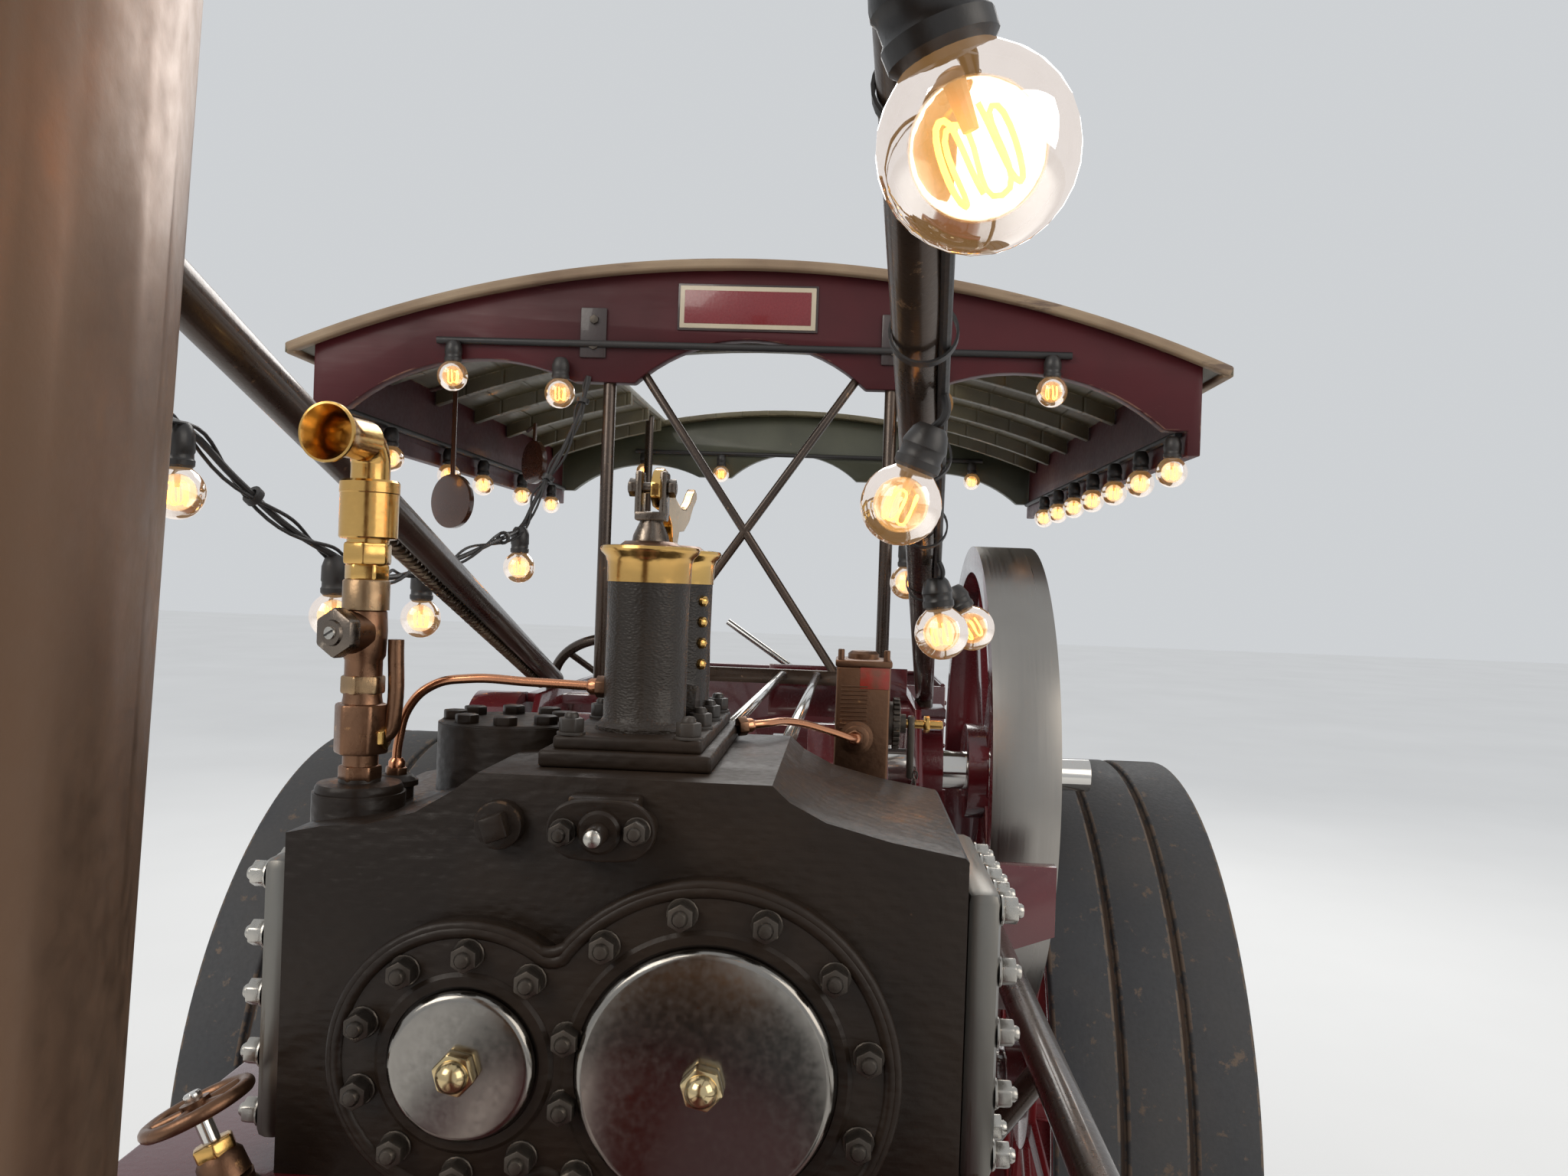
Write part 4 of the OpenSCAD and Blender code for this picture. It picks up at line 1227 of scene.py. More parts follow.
    def flywheel(self) -> None:
        """The flywheel with a bright turned rim on a painted wheel."""
        middle, radius = self.round_of("flywheel")
        piece = self.rounded("flywheel", MAROON, 0.002)
        rim = [p.index for p in piece.data.polygons if (p.center.xz - middle.xz).length > radius - 0.006]
        self.repaint(piece, TURNED_RIM, rim)


@dataclass
class CylinderDressing(SubAssembly):
    """Covers, glands, studs and nuts of the cylinder block."""

    flange_x: float = BLOCK_FRONT + 0.016
    low_flange: float = 0.092
    high_flange: float = 0.067
    low_disc: float = 0.062
    high_disc: float = 0.036
    nut: float = 0.0122

    def face(self, y: float, x: float | None = None, z: float = CRANK.z) -> Matrix:
        """Place on the front end of the block, looking forward."""
        return facing(Way.FORWARD, (self.flange_x if x is None else x, y, z))

    def disc(self, y: float, radius: float) -> None:
        """A polished cover disc with a rolled rim, its acorn nut and stud.

        Args:
            y: The cylinder's axis.
            radius: The disc's radius.
        """
        fillet = 0.0042
        edge = [(radius - fillet * (1 - math.sin(t)), 0.008 - fillet * (1 - math.cos(t)))
                for t in (math.pi / 2 * i / 7 for i in range(8))]
        self.add(Bench.lathe([(0, 0.0086), (radius * 0.4, 0.0085), (radius * 0.75, 0.0082), *edge,
                              (radius, 0), (0, 0)], self.face(y), 128), DARK_MIRROR)
        ring = radius + 0.0012
        self.add(Bench.lathe([(ring, -0.001), (ring, 0.0016), (ring + 0.0045, 0.0016),
                              (ring + 0.0065, 0.0002), (ring + 0.0065, -0.001), (ring, -0.001)], self.face(y),
                             96), CAST_BLACK)
        spot = self.face(y, self.flange_x + 0.0084)
        self.add(Bench.hexagon(0.0185, 0.008, spot @ Matrix.Rotation(0.3, 4, "Z")), PALE_BRASS)
        self.add(Bench.lathe([(0, 0.007), (0.0078, 0.007), (0.0078, 0.0095), (0.0064, 0.0125),
                              (0.0036, 0.0147), (0, 0.0152)], spot, 28), PALE_BRASS)

    def outline(self, inset: float, steps: int = 120) -> list[Triple]:
        """The joined outline of both flanges.

        Args:
            inset: Distance inside the flanges' edge.
            steps: Points round each flange.

        Returns:
            Points on the flanges' face, in order, the two cusps left open for the curve to round.
        """
        cusp = 0.006
        found = []
        for y, radius, other_y, other_r in ((LOW_Y, self.low_flange, HIGH_Y, self.high_flange),
                                            (HIGH_Y, self.high_flange, LOW_Y, self.low_flange)):
            mine = radius - inset
            first = 0.0 if y > other_y else math.pi
            for i in range(steps):
                turn = first - math.pi + FULL_TURN * i / steps
                spot = (y + mine * math.cos(turn), CRANK.z + mine * math.sin(turn))
                if math.hypot(spot[0] - other_y, spot[1] - CRANK.z) > other_r - inset + cusp:
                    found.append((self.flange_x - 0.0018, *spot))
        return found

    def lips(self) -> None:
        """The rounded edge that both flanges share."""
        for inset, thick in ((0.0042, 0.0036), (0.0016, 0.003)):
            self.add(Bench.pipe(self.outline(inset), thick, 4, closed=True), CAST_BLACK)

    def flange_nuts(self, y: float, circle: float, count: int, start: float, other: float,
                    keep_off: float) -> None:
        """Nuts round one flange, left out where the other disc or the saddle is.

        Args:
            y: The cylinder's axis.
            circle: Radius of the nuts' circle.
            count: Nuts on a full circle.
            start: Angle of the first.
            other: The other cylinder's axis.
            keep_off: Distance kept from that axis.
        """
        places = [m for m in Bench.ring(count, circle, self.face(y), start)
                  if math.hypot(m.translation.y - other, m.translation.z - CRANK.z) > keep_off
                  and m.translation.z > SADDLE_TOP + 0.008]
        self.add(Bench.spread(Bench.stud_nut(self.nut, 0.0085, 0.004), places), NUT_STEEL)

    def chest_nuts(self) -> None:
        """Bright nuts round the two valve chest covers."""
        low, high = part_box("valve_chest_covers")
        margin, columns, rows = 0.011, 5, 5
        for side, y in ((Side.LEFT, high.y), (Side.RIGHT, low.y)):
            spots = []
            for i in range(columns):
                for k in range(rows):
                    if i in (0, columns - 1) or k in (0, rows - 1):
                        x = low.x + margin + (high.x - low.x - 2 * margin) * i / (columns - 1)
                        z = low.z + margin + (high.z - low.z - 2 * margin) * k / (rows - 1)
                        spots.append(facing((0, side, 0), (x, y, z)))
            self.add(Bench.spread(Bench.stud_nut(0.0122, 0.0075, 0.0038), spots), BRIGHT_NUT)

    def top_bolts(self) -> None:
        """Hexagon bolts on the round boss and its raised cover."""
        boss = (0.738, -0.054, CRANK.z + 0.148)
        self.add(Bench.lathe([(0, 0), (0.04, 0), (0.0405, 0.002), (0.04, 0.005), (0.0385, 0.0062),
                              (0, 0.0062)], facing(Way.UP, (boss[0], boss[1], boss[2] - 0.0045)), 56),
                 CAST_BLACK)
        spots = Bench.ring(8, 0.0315, facing(Way.UP, (boss[0], boss[1], boss[2] + 0.0012)), 0.2)
        self.add(Bench.spread(Bench.hexagon(0.0125, 0.0055), spots), CAST_BLACK)

    def gland(self) -> None:
        """The oval gland over the two covers, with its spindle and two nuts."""
        at = (BLOCK_FRONT + 0.0145, 0.031, CRANK.z + 0.115)
        steps = 48
        outline = []
        for i in range(steps):
            turn = FULL_TURN * i / steps
            reach = 0.015 + 0.0115 * abs(math.sin(turn)) ** 2.6
            outline.append((reach * math.cos(turn), reach * math.sin(turn)))
        self.add(Bench.prism(outline, 0.005, facing(Way.FORWARD, at, math.pi / 2),
                             0.0012), CAST_BLACK)
        turned = facing(Way.FORWARD, (at[0] + 0.005, at[1], at[2]))
        self.add(Bench.lathe([(0, 0), (0.0105, 0), (0.0105, 0.0035), (0.009, 0.005), (0.0062, 0.005),
                              (0, 0.0045)], turned, 28), CAST_BLACK)
        self.add(Bench.lathe([(0, 0.002), (0.0046, 0.002), (0.0046, 0.016), (0.004, 0.0185), (0.0022, 0.0198),
                              (0, 0.0202)], turned, 24), BRIGHT_NUT)
        spots = [facing(Way.FORWARD, (at[0] + 0.005, at[1] + s * 0.0178, at[2] + s * 0.001)) for s in (-1, 1)]
        self.add(Bench.spread(Bench.stud_nut(0.0105, 0.0075, 0.0034), spots), NUT_STEEL)
        head = facing(Way.FORWARD, (BLOCK_FRONT + 0.0075, -0.022, CRANK.z + 0.113), 0.35)
        self.add(Bench.put(Bench.block((-0.0062, -0.0062, 0), (0.0062, 0.0062, 0.009), 0.0015), head),
                 CAST_BLACK)

    def build(self) -> None:
        """Builds all of it."""
        for y, disc, circle, count, start in ((LOW_Y, self.low_disc, 0.0783, 12, 10),
                                              (HIGH_Y, self.high_disc, 0.0525, 10, 17)):
            self.disc(y, disc)
            other, keep_off = (HIGH_Y, 0.056) if y == LOW_Y else (LOW_Y, 0.066)
            self.flange_nuts(y, circle, count, math.radians(start), other, keep_off)
        self.lips()
        self.chest_nuts()
        self.top_bolts()
        self.gland()
        self.deliver("cylinder", "cover_discs")


@dataclass
class SafetyValve(SubAssembly):
    """Twin-column safety valve with its brass caps and lever."""

    columns: tuple[Pair, ...] = ((0.783, 0.0345), (0.721, 0.04))
    y: float = 0.036
    base_low: Pair = (0.664, -0.012)
    base_high: Pair = (0.833, 0.078)
    radius: float = 0.0228
    neck: float = CRANK.z + 0.234

    def column(self, x: float, y: float, foot: float) -> None:
        """One cast column with its spigot and brass cap.

        Args:
            x: Place of its axis.
            y: Place of its axis.
            foot: Height of its foot.
        """
        r = self.radius
        height = self.neck - foot
        self.add(Bench.lathe([(0, 0), (r + 0.004, 0), (r + 0.004, 0.002), (r + 0.0012, 0.0045), (r, 0.0065),
                              (r, height * 0.35), (r - 0.0004, height * 0.6), (r, height), (0, height)],
                             facing(Way.UP, (x, y, foot)), 64), PEBBLED)
        cap = facing(Way.UP, (x, y, self.neck))
        self.add(Bench.lathe([(0, 0), (r + 0.0004, 0), (r + 0.0006, 0.0105), (r + 0.0018, 0.014),
                              (r + 0.0042, 0.0163), (r + 0.0048, 0.018), (r + 0.004, 0.0196),
                              (r + 0.002, 0.02), (r - 0.001, 0.0192), (r - 0.002, 0.018), (0, 0.0178)],
                             cap, 72), BRASS)
        self.add(Bench.lathe([(0, 0.0175), (r - 0.006, 0.0175), (r - 0.006, 0.0205), (r - 0.0085, 0.0225),
                              (0.0085, 0.023), (0, 0.023)], cap, 40), BROWN_BRASS)

    def build(self) -> None:
        """Builds base, columns, caps, forks and lever."""
        foot = BLOCK_TOP
        step = 0.006
        self.add(Bench.block((*self.base_low, foot), (*self.base_high, foot + 0.009), 0.0022, 3), CAST_BLACK)
        self.add(Bench.block((self.base_low[0] + step, self.base_low[1] + step, foot + 0.0085),
                             (self.base_high[0] - step, self.base_high[1] - step, foot + 0.016), 0.0022, 3),
                 CAST_BLACK)
        inset = 0.014
        corners = [(x, y) for x in (self.base_low[0] + inset, self.base_high[0] - inset)
                   for y in (self.base_low[1] + inset, self.base_high[1] - inset)]
        corners += [(x, self.base_high[1] - inset) for x in (0.77, 0.725)]
        corners += [(x, self.base_low[1] + inset) for x in (0.74, 0.7)]
        self.add(Bench.spread(Bench.stud_nut(0.012, 0.0075, 0.0038),
                              [facing(Way.UP, (x, y, foot + 0.016)) for x, y in corners]), CAST_NUT)
        for x, y in self.columns:
            self.column(x, y, foot + 0.016)
        (ax, _), (bx, by) = self.columns
        self.add(Bench.block((bx, self.y - 0.009, foot + 0.015), (ax, self.y + 0.009, self.neck - 0.004),
                             0.003), PEBBLED)
        self.add(Bench.lathe([(0, -0.012), (0.012, -0.012), (0.0135, 0), (0.012, 0.012), (0, 0.012)],
                             facing(Way.LEFT, ((ax + bx) / 2, self.y + 0.012, foot + 0.026)), 32), PEBBLED)
        dome = Bench.lathe([(0, 0), (0.0034, 0), (0.003, 0.0018), (0.0016, 0.0029), (0, 0.0033)], steps=14)
        seam = [facing((0.55, 0.83, 0), (bx + 0.0128, by + 0.0188, self.neck - 0.01 - 0.0125 * i))
                for i in range(4)]
        self.add(Bench.spread(dome, seam), BRASS)
        self.lever()
        self.deliver("safety_valve", "safety_valve")

    def lever(self) -> None:
        """The humped brass lever in the fork over the front column."""
        level = self.neck
        crest = [(0.793, 0.047), (0.792, 0.055), (0.786, 0.0615), (0.777, 0.0645), (0.765, 0.0635),
                 (0.748, 0.0575), (0.728, 0.0505), (0.705, 0.0465), (0.686, 0.0475), (0.668, 0.053),
                 (0.654, 0.06), (0.644, 0.0635), (0.636, 0.062), (0.634, 0.0575)]
        under = [(0.64, 0.0545), (0.652, 0.05), (0.668, 0.04), (0.69, 0.033), (0.712, 0.0315),
                 (0.722, 0.02), (0.736, 0.02), (0.744, 0.034), (0.762, 0.041), (0.784, 0.042)]
        outline = [(x, level + z) for x, z in crest + under]
        turn = Matrix(((1, 0, 0, 0), (0, 0, -1, self.y + 0.0042), (0, 1, 0, 0), (0, 0, 0, 1)))
        self.add(Bench.prism(outline, 0.0055, turn, 0.0009), BRASS)
        x, y = self.columns[0]
        self.add(Bench.lathe([(0, 0.022), (0.0105, 0.022), (0.0098, 0.026), (0.006, 0.0345), (0.006, 0.037),
                              (0, 0.037)], facing(Way.UP, (x, y, level)), 28), FORK_STEEL)
        self.add(Bench.block((x - 0.0075, y - 0.0085, level + 0.034), (x + 0.0075, y + 0.0085, level + 0.039),
                             0.0012), FORK_STEEL)
        for side in reversed(Side):
            middle = y + side * 0.0068
            self.add(Bench.block((x - 0.007, middle - 0.002, level + 0.0365),
                                 (x + 0.007, middle + 0.002, level + 0.0615), 0.0014), FORK_STEEL)
        pin = facing(Way.LEFT, (x, y - 0.0135, level + 0.0525))
        self.add(Bench.lathe([(0, 0), (0.003, 0), (0.003, 0.027), (0, 0.027)], pin, 16), FORK_STEEL)
        for at in (-0.013, 0.009):
            self.add(Bench.hexagon(0.0092, 0.0042, facing(Way.LEFT, (x, y + at, level + 0.0525))), FORK_STEEL)


@dataclass
class Whistle(SubAssembly):
    """Upright whistle stack with its stop cock and forward horn."""

    x: float = 0.813
    y: float = -0.113
    mouth: float = 0.0153
    tube: float = 0.0103

    def upright(self, profile: Sequence[Pair], finish: AnyFinish, steps: int = 36) -> None:
        """A turned piece on the stack's axis, heights over the cylinder axes."""
        self.add(Bench.lathe(profile, facing(Way.UP, (self.x, self.y, CRANK.z)), steps), finish)

    def hexagon(self, across: float, low: float, high: float, finish: AnyFinish, turn: float = 0.0) -> None:
        """A hexagon on the stack's axis between two heights over the cylinder axes."""
        place = facing(Way.UP, (self.x, self.y, CRANK.z + low), turn)
        self.add(Bench.hexagon(across, high - low, place), finish)

    def build(self) -> None:
        """Builds the stack from the base to the horn."""
        self.upright([(0, 0.117), (0.0227, 0.117), (0.0227, 0.1195), (0.0215, 0.1215), (0.011, 0.1222),
                      (0.0105, 0.124), (0, 0.124)], CAST_BLACK, 48)
        self.hexagon(0.02, 0.1225, 0.131, BROWN_BRASS, 0.3)
        self.upright([(0, 0.13), (0.0092, 0.13), (0.0092, 0.1375), (0, 0.1375)], BROWN_BRASS)
        self.hexagon(0.0255, 0.137, 0.164, BROWN_BRASS, 0.15)
        self.upright([(0, 0.163), (0.0108, 0.163), (0.01, 0.1675), (0.01, 0.17), (0, 0.17)], BROWN_BRASS)
        self.hexagon(0.0205, 0.169, 0.179, GREYED_BRASS, 0.5)
        self.upright([(0, 0.178), (0.0098, 0.178), (0.0098, 0.187), (0.0112, 0.1895), (0.0118, 0.203),
                      (0.0112, 0.213), (0.0098, 0.215), (0, 0.215)], BROWN_BRASS)
        self.cock()
        self.upright([(0, 0.214), (0.0122, 0.214), (0.0122, 0.229), (0.0115, 0.23), (0, 0.23)], GREYED_BRASS)
        self.hexagon(0.0205, 0.2295, 0.2385, BRASS, 0.2)
        self.hexagon(0.0228, 0.238, 0.25, BRASS, 0.7)
        self.upright([(0, 0.249), (0.0108, 0.249), (0.011, 0.2515), (0.0146, 0.252), (0.0152, 0.2528),
                      (0.0152, 0.276), (0.0156, 0.2765), (0.0156, 0.282), (0.0146, 0.2832), (0.011, 0.2835),
                      (0, 0.2835)], BRASS, 56)
        self.horn()
        self.deliver("whistle", "whistle_stack")

    def cock(self) -> None:
        """The stop cock's dark hexagon cap with its slotted screw, and the drip tube beside it."""
        outward = Vector((0.93, -0.36, 0)).normalized()
        cock = Vector((self.x, self.y, CRANK.z + 0.202))
        self.add(Bench.lathe([(0, 0.004), (0.0115, 0.004), (0.0115, 0.015), (0, 0.015)],
                             facing(outward, cock), 32), BROWN_BRASS)
        self.add(Bench.hexagon(0.0235, 0.0085, facing(outward, cock + outward * 0.0145)), FORK_STEEL)
        self.add(Bench.lathe([(0, 0.023), (0.007, 0.023), (0.0064, 0.0245), (0, 0.0248)],
                             facing(outward, cock), 28), FORK_STEEL)
        screw = facing(outward, cock + outward * 0.0245)
        self.add(Bench.lathe([(0, 0), (0.0036, 0), (0.0033, 0.0012), (0, 0.0015)], screw, 20), BRIGHT_NUT)
        slot = Bench.block((-0.003, -0.0004, 0.0012), (0.003, 0.0004, 0.0019), 0)
        self.add(Bench.put(slot, screw @ Matrix.Rotation(0.5, 4, "Z")), LAMP_BLACK)
        tube = (self.x - 0.002, self.y + 0.0165)
        low, high = CRANK.z + 0.147, CRANK.z + 0.1985
        self.add(Bench.pipe([(self.x, self.y + 0.01, low - 0.0015), (tube[0], tube[1] - 0.002, low + 0.002),
                             (tube[0], tube[1], low + 0.01), (tube[0], tube[1], high)], 0.0043, 5),
                 BROWN_BRASS)
        self.add(Bench.hexagon(0.012, 0.006, facing(Way.LEFT, (self.x, self.y + 0.0085, CRANK.z + 0.146))),
                 BRASS)

    def horn(self) -> None:
        """The round elbow on top and the horn that looks forward."""
        top = CRANK.z + 0.3035
        ahead = Vector((1, -0.125, 0)).normalized()
        base = Vector((self.x, self.y, 0))
        knee = 0.0125
        arc = []
        for i in range(7):
            turn = math.pi / 2 * i / 6
            along = knee * (1 - math.cos(turn))
            arc.append(base + ahead * along + Vector((0, 0, top - knee + knee * math.sin(turn))))
        start = arc[-1]
        route = [base + Vector((0, 0, CRANK.z + 0.2825)), *arc, start + ahead * 0.006]
        self.add(Bench.pipe(route, self.tube, 7), BRASS)
        r, m = self.tube, self.mouth
        self.add(Bench.lathe([(r - 0.0025, -0.006), (r + 0.0004, -0.006), (r + 0.0004, 0.012),
                              (r + 0.001, 0.018), (r + 0.0024, 0.0235), (m - 0.0006, 0.0285),
                              (m + 0.0002, 0.03), (m, 0.0312), (m - 0.0012, 0.0314), (m - 0.004, 0.0262),
                              (r - 0.0018, 0.019), (r - 0.003, 0.01), (r - 0.0025, -0.006)],
                             facing(ahead, start), 56), BRASS)


@dataclass
class Lubricator(SubAssembly):
    """Sight-feed lubricator box with its ratchet, behind the block."""

    low: Triple = (0.54, 0.139, CRANK.z + 0.098)
    high: Triple = (0.584, 0.178, CRANK.z + 0.189)

    def build(self) -> None:
        """Builds the box, lid, sight scale, filler and ratchet."""
        lo, hi = Vector(self.low), Vector(self.high)
        self.add(Bench.block(lo, (hi.x, hi.y, hi.z - 0.01), 0.0018, 3), BROWN_BRASS)
        self.add(Bench.block((lo.x - 0.001, lo.y - 0.001, hi.z - 0.0105),
                             (hi.x + 0.001, hi.y + 0.001, hi.z - 0.0055), 0.0012), BROWN_BRASS)
        for y in (lo.y + 0.003, hi.y - 0.003):
            self.add(Bench.rod((hi.x - 0.006, y, hi.z - 0.008), (hi.x - 0.006, y, hi.z + 0.002), 0.0024, 14),
                     BROWN_BRASS)
        self.add(Bench.lathe([(0, 0), (0.0115, 0), (0.0115, 0.004), (0.009, 0.006), (0, 0.0065)],
                             facing(Way.UP, (0.556, 0.1585, hi.z - 0.006)), 28), BROWN_BRASS)
        face = hi.x - 0.0004
        ridge = Bench.block((face, 0.1425, 0), (face + 0.0011, 0.162, 0.0014), 0.0004, 1)
        self.add(Bench.spread(ridge, [Matrix.Translation((0, 0, lo.z + 0.036 + i * 0.003))
                                      for i in range(11)]), BROWN_BRASS)
        self.add(Bench.block((face, 0.156, hi.z - 0.026), (face + 0.0009, hi.y - 0.0008, hi.z - 0.0105),
                             0.0004), SIGHT_RED)
        union = facing(Way.FORWARD, (face, 0.1548, lo.z + 0.03))
        self.add(Bench.lathe([(0, 0), (0.012, 0), (0.012, 0.0018), (0.0092, 0.0026), (0.0092, 0.004),
                              (0.007, 0.005), (0, 0.005)], union, 32), BROWN_BRASS)
        axle = (0.562, hi.y, CRANK.z + 0.137)
        turned = facing(Way.LEFT, axle)
        self.add(Bench.lathe([(0, 0), (0.016, 0), (0.016, 0.003), (0.0172, 0.0032), (0.0172, 0.008),
                              (0.015, 0.0085), (0.007, 0.0085), (0.007, 0.013), (0, 0.013)], turned, 36),
                 NUT_STEEL)
        teeth = Bench.block((-0.0013, 0.0168, 0.0032), (0.0013, 0.019, 0.008), 0.0004, 1)
        self.add(Bench.spread(teeth, [turned @ Matrix.Rotation(FULL_TURN * i / 24, 4, "Z")
                                      for i in range(24)]), NUT_STEEL)
        self.add(Bench.rod((axle[0], hi.y + 0.012, axle[2]), (axle[0], hi.y + 0.04, axle[2]), 0.0032, 16),
                 BRASS)
        self.add(Bench.hexagon(0.011, 0.0045, facing(Way.LEFT, (axle[0], hi.y + 0.026, axle[2]))), BRASS)
        self.add(Bench.block((axle[0] - 0.005, 0.1925, axle[2] - 0.04),
                             (axle[0] + 0.005, 0.1975, axle[2] + 0.006), 0.0015), NUT_STEEL)
        self.chain((axle[0], 0.1985, axle[2] - 0.036))
        self.add(Bench.block((0.546, 0.141, CRANK.z + 0.084), (BLOCK_REAR, 0.172, lo.z + 0.0002), 0.002),
                 CAST_BLACK)
        self.deliver("lubricator", "lubricator")

    def chain(self, at: Triple) -> None:
        """A short loop of oval links under the ratchet's arm.

        Args:
            at: Middle of the loop's top.
        """
        link = Bench.link(radius=0.0017, wire=0.0006, stretch=0.0014)
        places = []
        count, span, drop = 15, 0.02, 0.026
        for i in range(count):
            share = i / (count - 1)
            x = at[0] - span / 2 + span * share
            z = at[2] - drop * math.sin(math.pi * share)
            slope = math.atan2(drop * math.pi * math.cos(math.pi * share), span)
            place = Matrix.Translation((x, at[1], z)) @ Matrix.Rotation(slope, 4, "Y")
            places.append(place @ Matrix.Rotation(math.pi / 2 * (i % 2), 4, "X"))
        self.add(Bench.spread(link, places), NUT_STEEL)


@dataclass
class HandWheelValve(SubAssembly):
    """Small hand-wheel valve on the saddle's front shelf."""

    foot: Triple = (0.884, -0.141, SADDLE_TOP)
    lean: float = 26.0
    wheel: float = 0.0235
    tube: float = 0.0034

    def build(self) -> None:
        """Builds flange, bonnet, spindle and spoked wheel."""
        spot = Vector(self.foot)
        self.add(Bench.lathe([(0, 0), (0.016, 0), (0.016, 0.006), (0.0125, 0.009), (0.0115, 0.013),
                              (0, 0.013)], facing(Way.UP, spot), 32), BROWN_BRASS)
        lean = math.radians(self.lean)
        along = Vector((0, -math.sin(lean), math.cos(lean)))
        start = spot + Vector((0, 0, 0.01))
        self.add(Bench.lathe([(0, 0), (0.0115, 0), (0.011, 0.01), (0.008, 0.014), (0, 0.014)],
                             facing(along, start), 28), BROWN_BRASS)
        self.add(Bench.hexagon(0.018, 0.007, facing(along, start + along * 0.012)), BRASS)
        self.add(Bench.rod(start, start + along * 0.044, 0.0042, 16), STEEL)
        rim = [(self.wheel + self.tube * math.cos(t), self.tube * math.sin(t))
               for t in (FULL_TURN * i / 12 for i in range(13))]
        hub = facing(along, start + along * 0.036)
        self.add(Bench.lathe(rim, hub, 48), BROWN_BRASS)
        self.add(Bench.lathe([(0, -0.004), (0.007, -0.004), (0.007, 0.004), (0, 0.005)], hub, 20),
                 BROWN_BRASS)
        for i in range(5):
            turn = hub @ Matrix.Rotation(FULL_TURN * i / 5, 4, "Z")
            self.add(Bench.rod(turn @ Vector((0.005, 0, 0)), turn @ Vector((self.wheel, 0, 0)), 0.0026, 12),
                     BROWN_BRASS)
        self.deliver("hand_wheel_valve", "clack_valve")


@dataclass
class PipeWork(SubAssembly):
    """Bright copper pipes with their unions."""

    radius: float = 0.0026

    def build(self) -> None:
        """Builds both pipes along the CAD routes, drawn to the bore that the photograph shows."""
        routes = [
            [(0.78, -0.106, 1.1313), (0.78, -0.105, 1.152), (0.7805, -0.099, 1.172), (0.781, -0.086, 1.184),
             (0.782, -0.066, 1.1885), (0.782, -0.03, 1.188), (0.783, 0.013, 1.187)],
            [(0.69, 0.0784, 1.157), (0.684, 0.092, 1.1585), (0.655, 0.11, 1.1575), (0.625, 0.135, 1.149),
             (0.602, 0.152, 1.1415), (0.588, 0.1548, 1.14)],
        ]
        for route in routes:
            self.add(Bench.pipe(route, self.radius, 5), COPPER)
            for a, b in ((route[0], route[1]), (route[-1], route[-2])):
                way = (Vector(b) - Vector(a)).normalized()
                self.add(Bench.hexagon(0.011, 0.006, facing(way, a)), BROWN_BRASS)
                self.add(Bench.lathe([(0, 0), (0.0046, 0), (0.0046, 0.003), (0.0032, 0.005), (0, 0.005)],
                                     facing(way, Vector(a) + way * 0.006), 18), COPPER)
        foot = routes[0][0]
        self.add(Bench.lathe([(0, 0), (0.0125, 0), (0.0125, 0.003), (0.0085, 0.006), (0, 0.006)],
                             facing(Way.UP, (foot[0], foot[1], foot[2] - 0.004)), 28), CAST_BLACK)
        self.deliver("pipes", "copper_pipes")


@dataclass
class FestoonLamps(SubAssembly):
    """Clear globes on black holders."""

    radius: float = 0.021
    tall: float = 0.049

    def spots(self) -> list[Vector]:
        """Bulb centres, read from the CAD bulbs' own mesh.

        Returns:
            The centres.
        """
        boxes: list[tuple[Vector, Vector]] = []
        for vertex in frame["nodes"]["lamp_bulbs"].data.vertices:
            for low, high in boxes:
                if (vertex.co - (low + high) / 2).length < self.radius * 2.2:
                    for axis in range(3):
                        low[axis] = min(low[axis], vertex.co[axis])
                        high[axis] = max(high[axis], vertex.co[axis])
                    break
            else:
                boxes.append((vertex.co.copy(), vertex.co.copy()))
        return [(low + high) / 2 for low, high in boxes]

    def globe(self) -> Piece:
        """A blown globe with a short neck, modelled about the bulb's centre.

        Returns:
            The globe.
        """
        wall = 0.0006
        turns = [math.radians(12 * i) for i in range(13)]
        outer = [(self.radius * math.sin(t), -self.radius * math.cos(t)) for t in turns]
        inner = [((self.radius - wall) * math.sin(t), -(self.radius - wall) * math.cos(t)) for t in turns]
        return Bench.lathe([*outer, (0.0088, 0.02), (0.008, 0.021), *reversed(inner)], steps=28)

    def wire(self) -> Piece:
        """The filament: tall loops in a ring round the stem.

        Returns:
            The filament.
        """
        count = 8
        points = [(0.0062 * math.cos(t), 0.0062 * math.sin(t), -0.001 + 0.0085 * (-1 if i % 2 else 1))
                  for i, t in enumerate(FULL_TURN * k / count for k in range(count))]
        return Bench.pipe(points, 0.0007, 1)

    def holder(self) -> Piece:
        """A ribbed lampholder over the neck."""
        top = self.tall
        return Bench.lathe([(0, 0.0185), (0.01, 0.0185), (0.012, 0.0205), (0.0122, 0.0245), (0.0112, 0.026),
                            (0.0112, 0.03), (0.012, 0.0315), (0.0118, top - 0.01), (0.0095, top - 0.003),
                            (0.007, top), (0, top)], steps=24)

    def build(self, places: Sequence[Matrix], stem: str, *nodes: str) -> None:
        """Builds a set of lamps.

        Args:
            places: Bulb centres with +Z along each holder.
            stem: First part of the pieces' names.
            nodes: CAD nodes that the lamps stand for.
        """
        self.add(Bench.spread(self.globe(), places), GLOBE)
        self.add(Bench.spread(self.wire(), places), FILAMENT)
        stalk = Bench.lathe([(0, 0.004), (0.0018, 0.004), (0.0028, 0.018), (0, 0.018)], steps=10)
        self.add(Bench.spread(stalk, places), CREAM)
        self.add(Bench.spread(self.holder(), places), LAMP_BLACK)
        self.deliver(stem, *nodes)


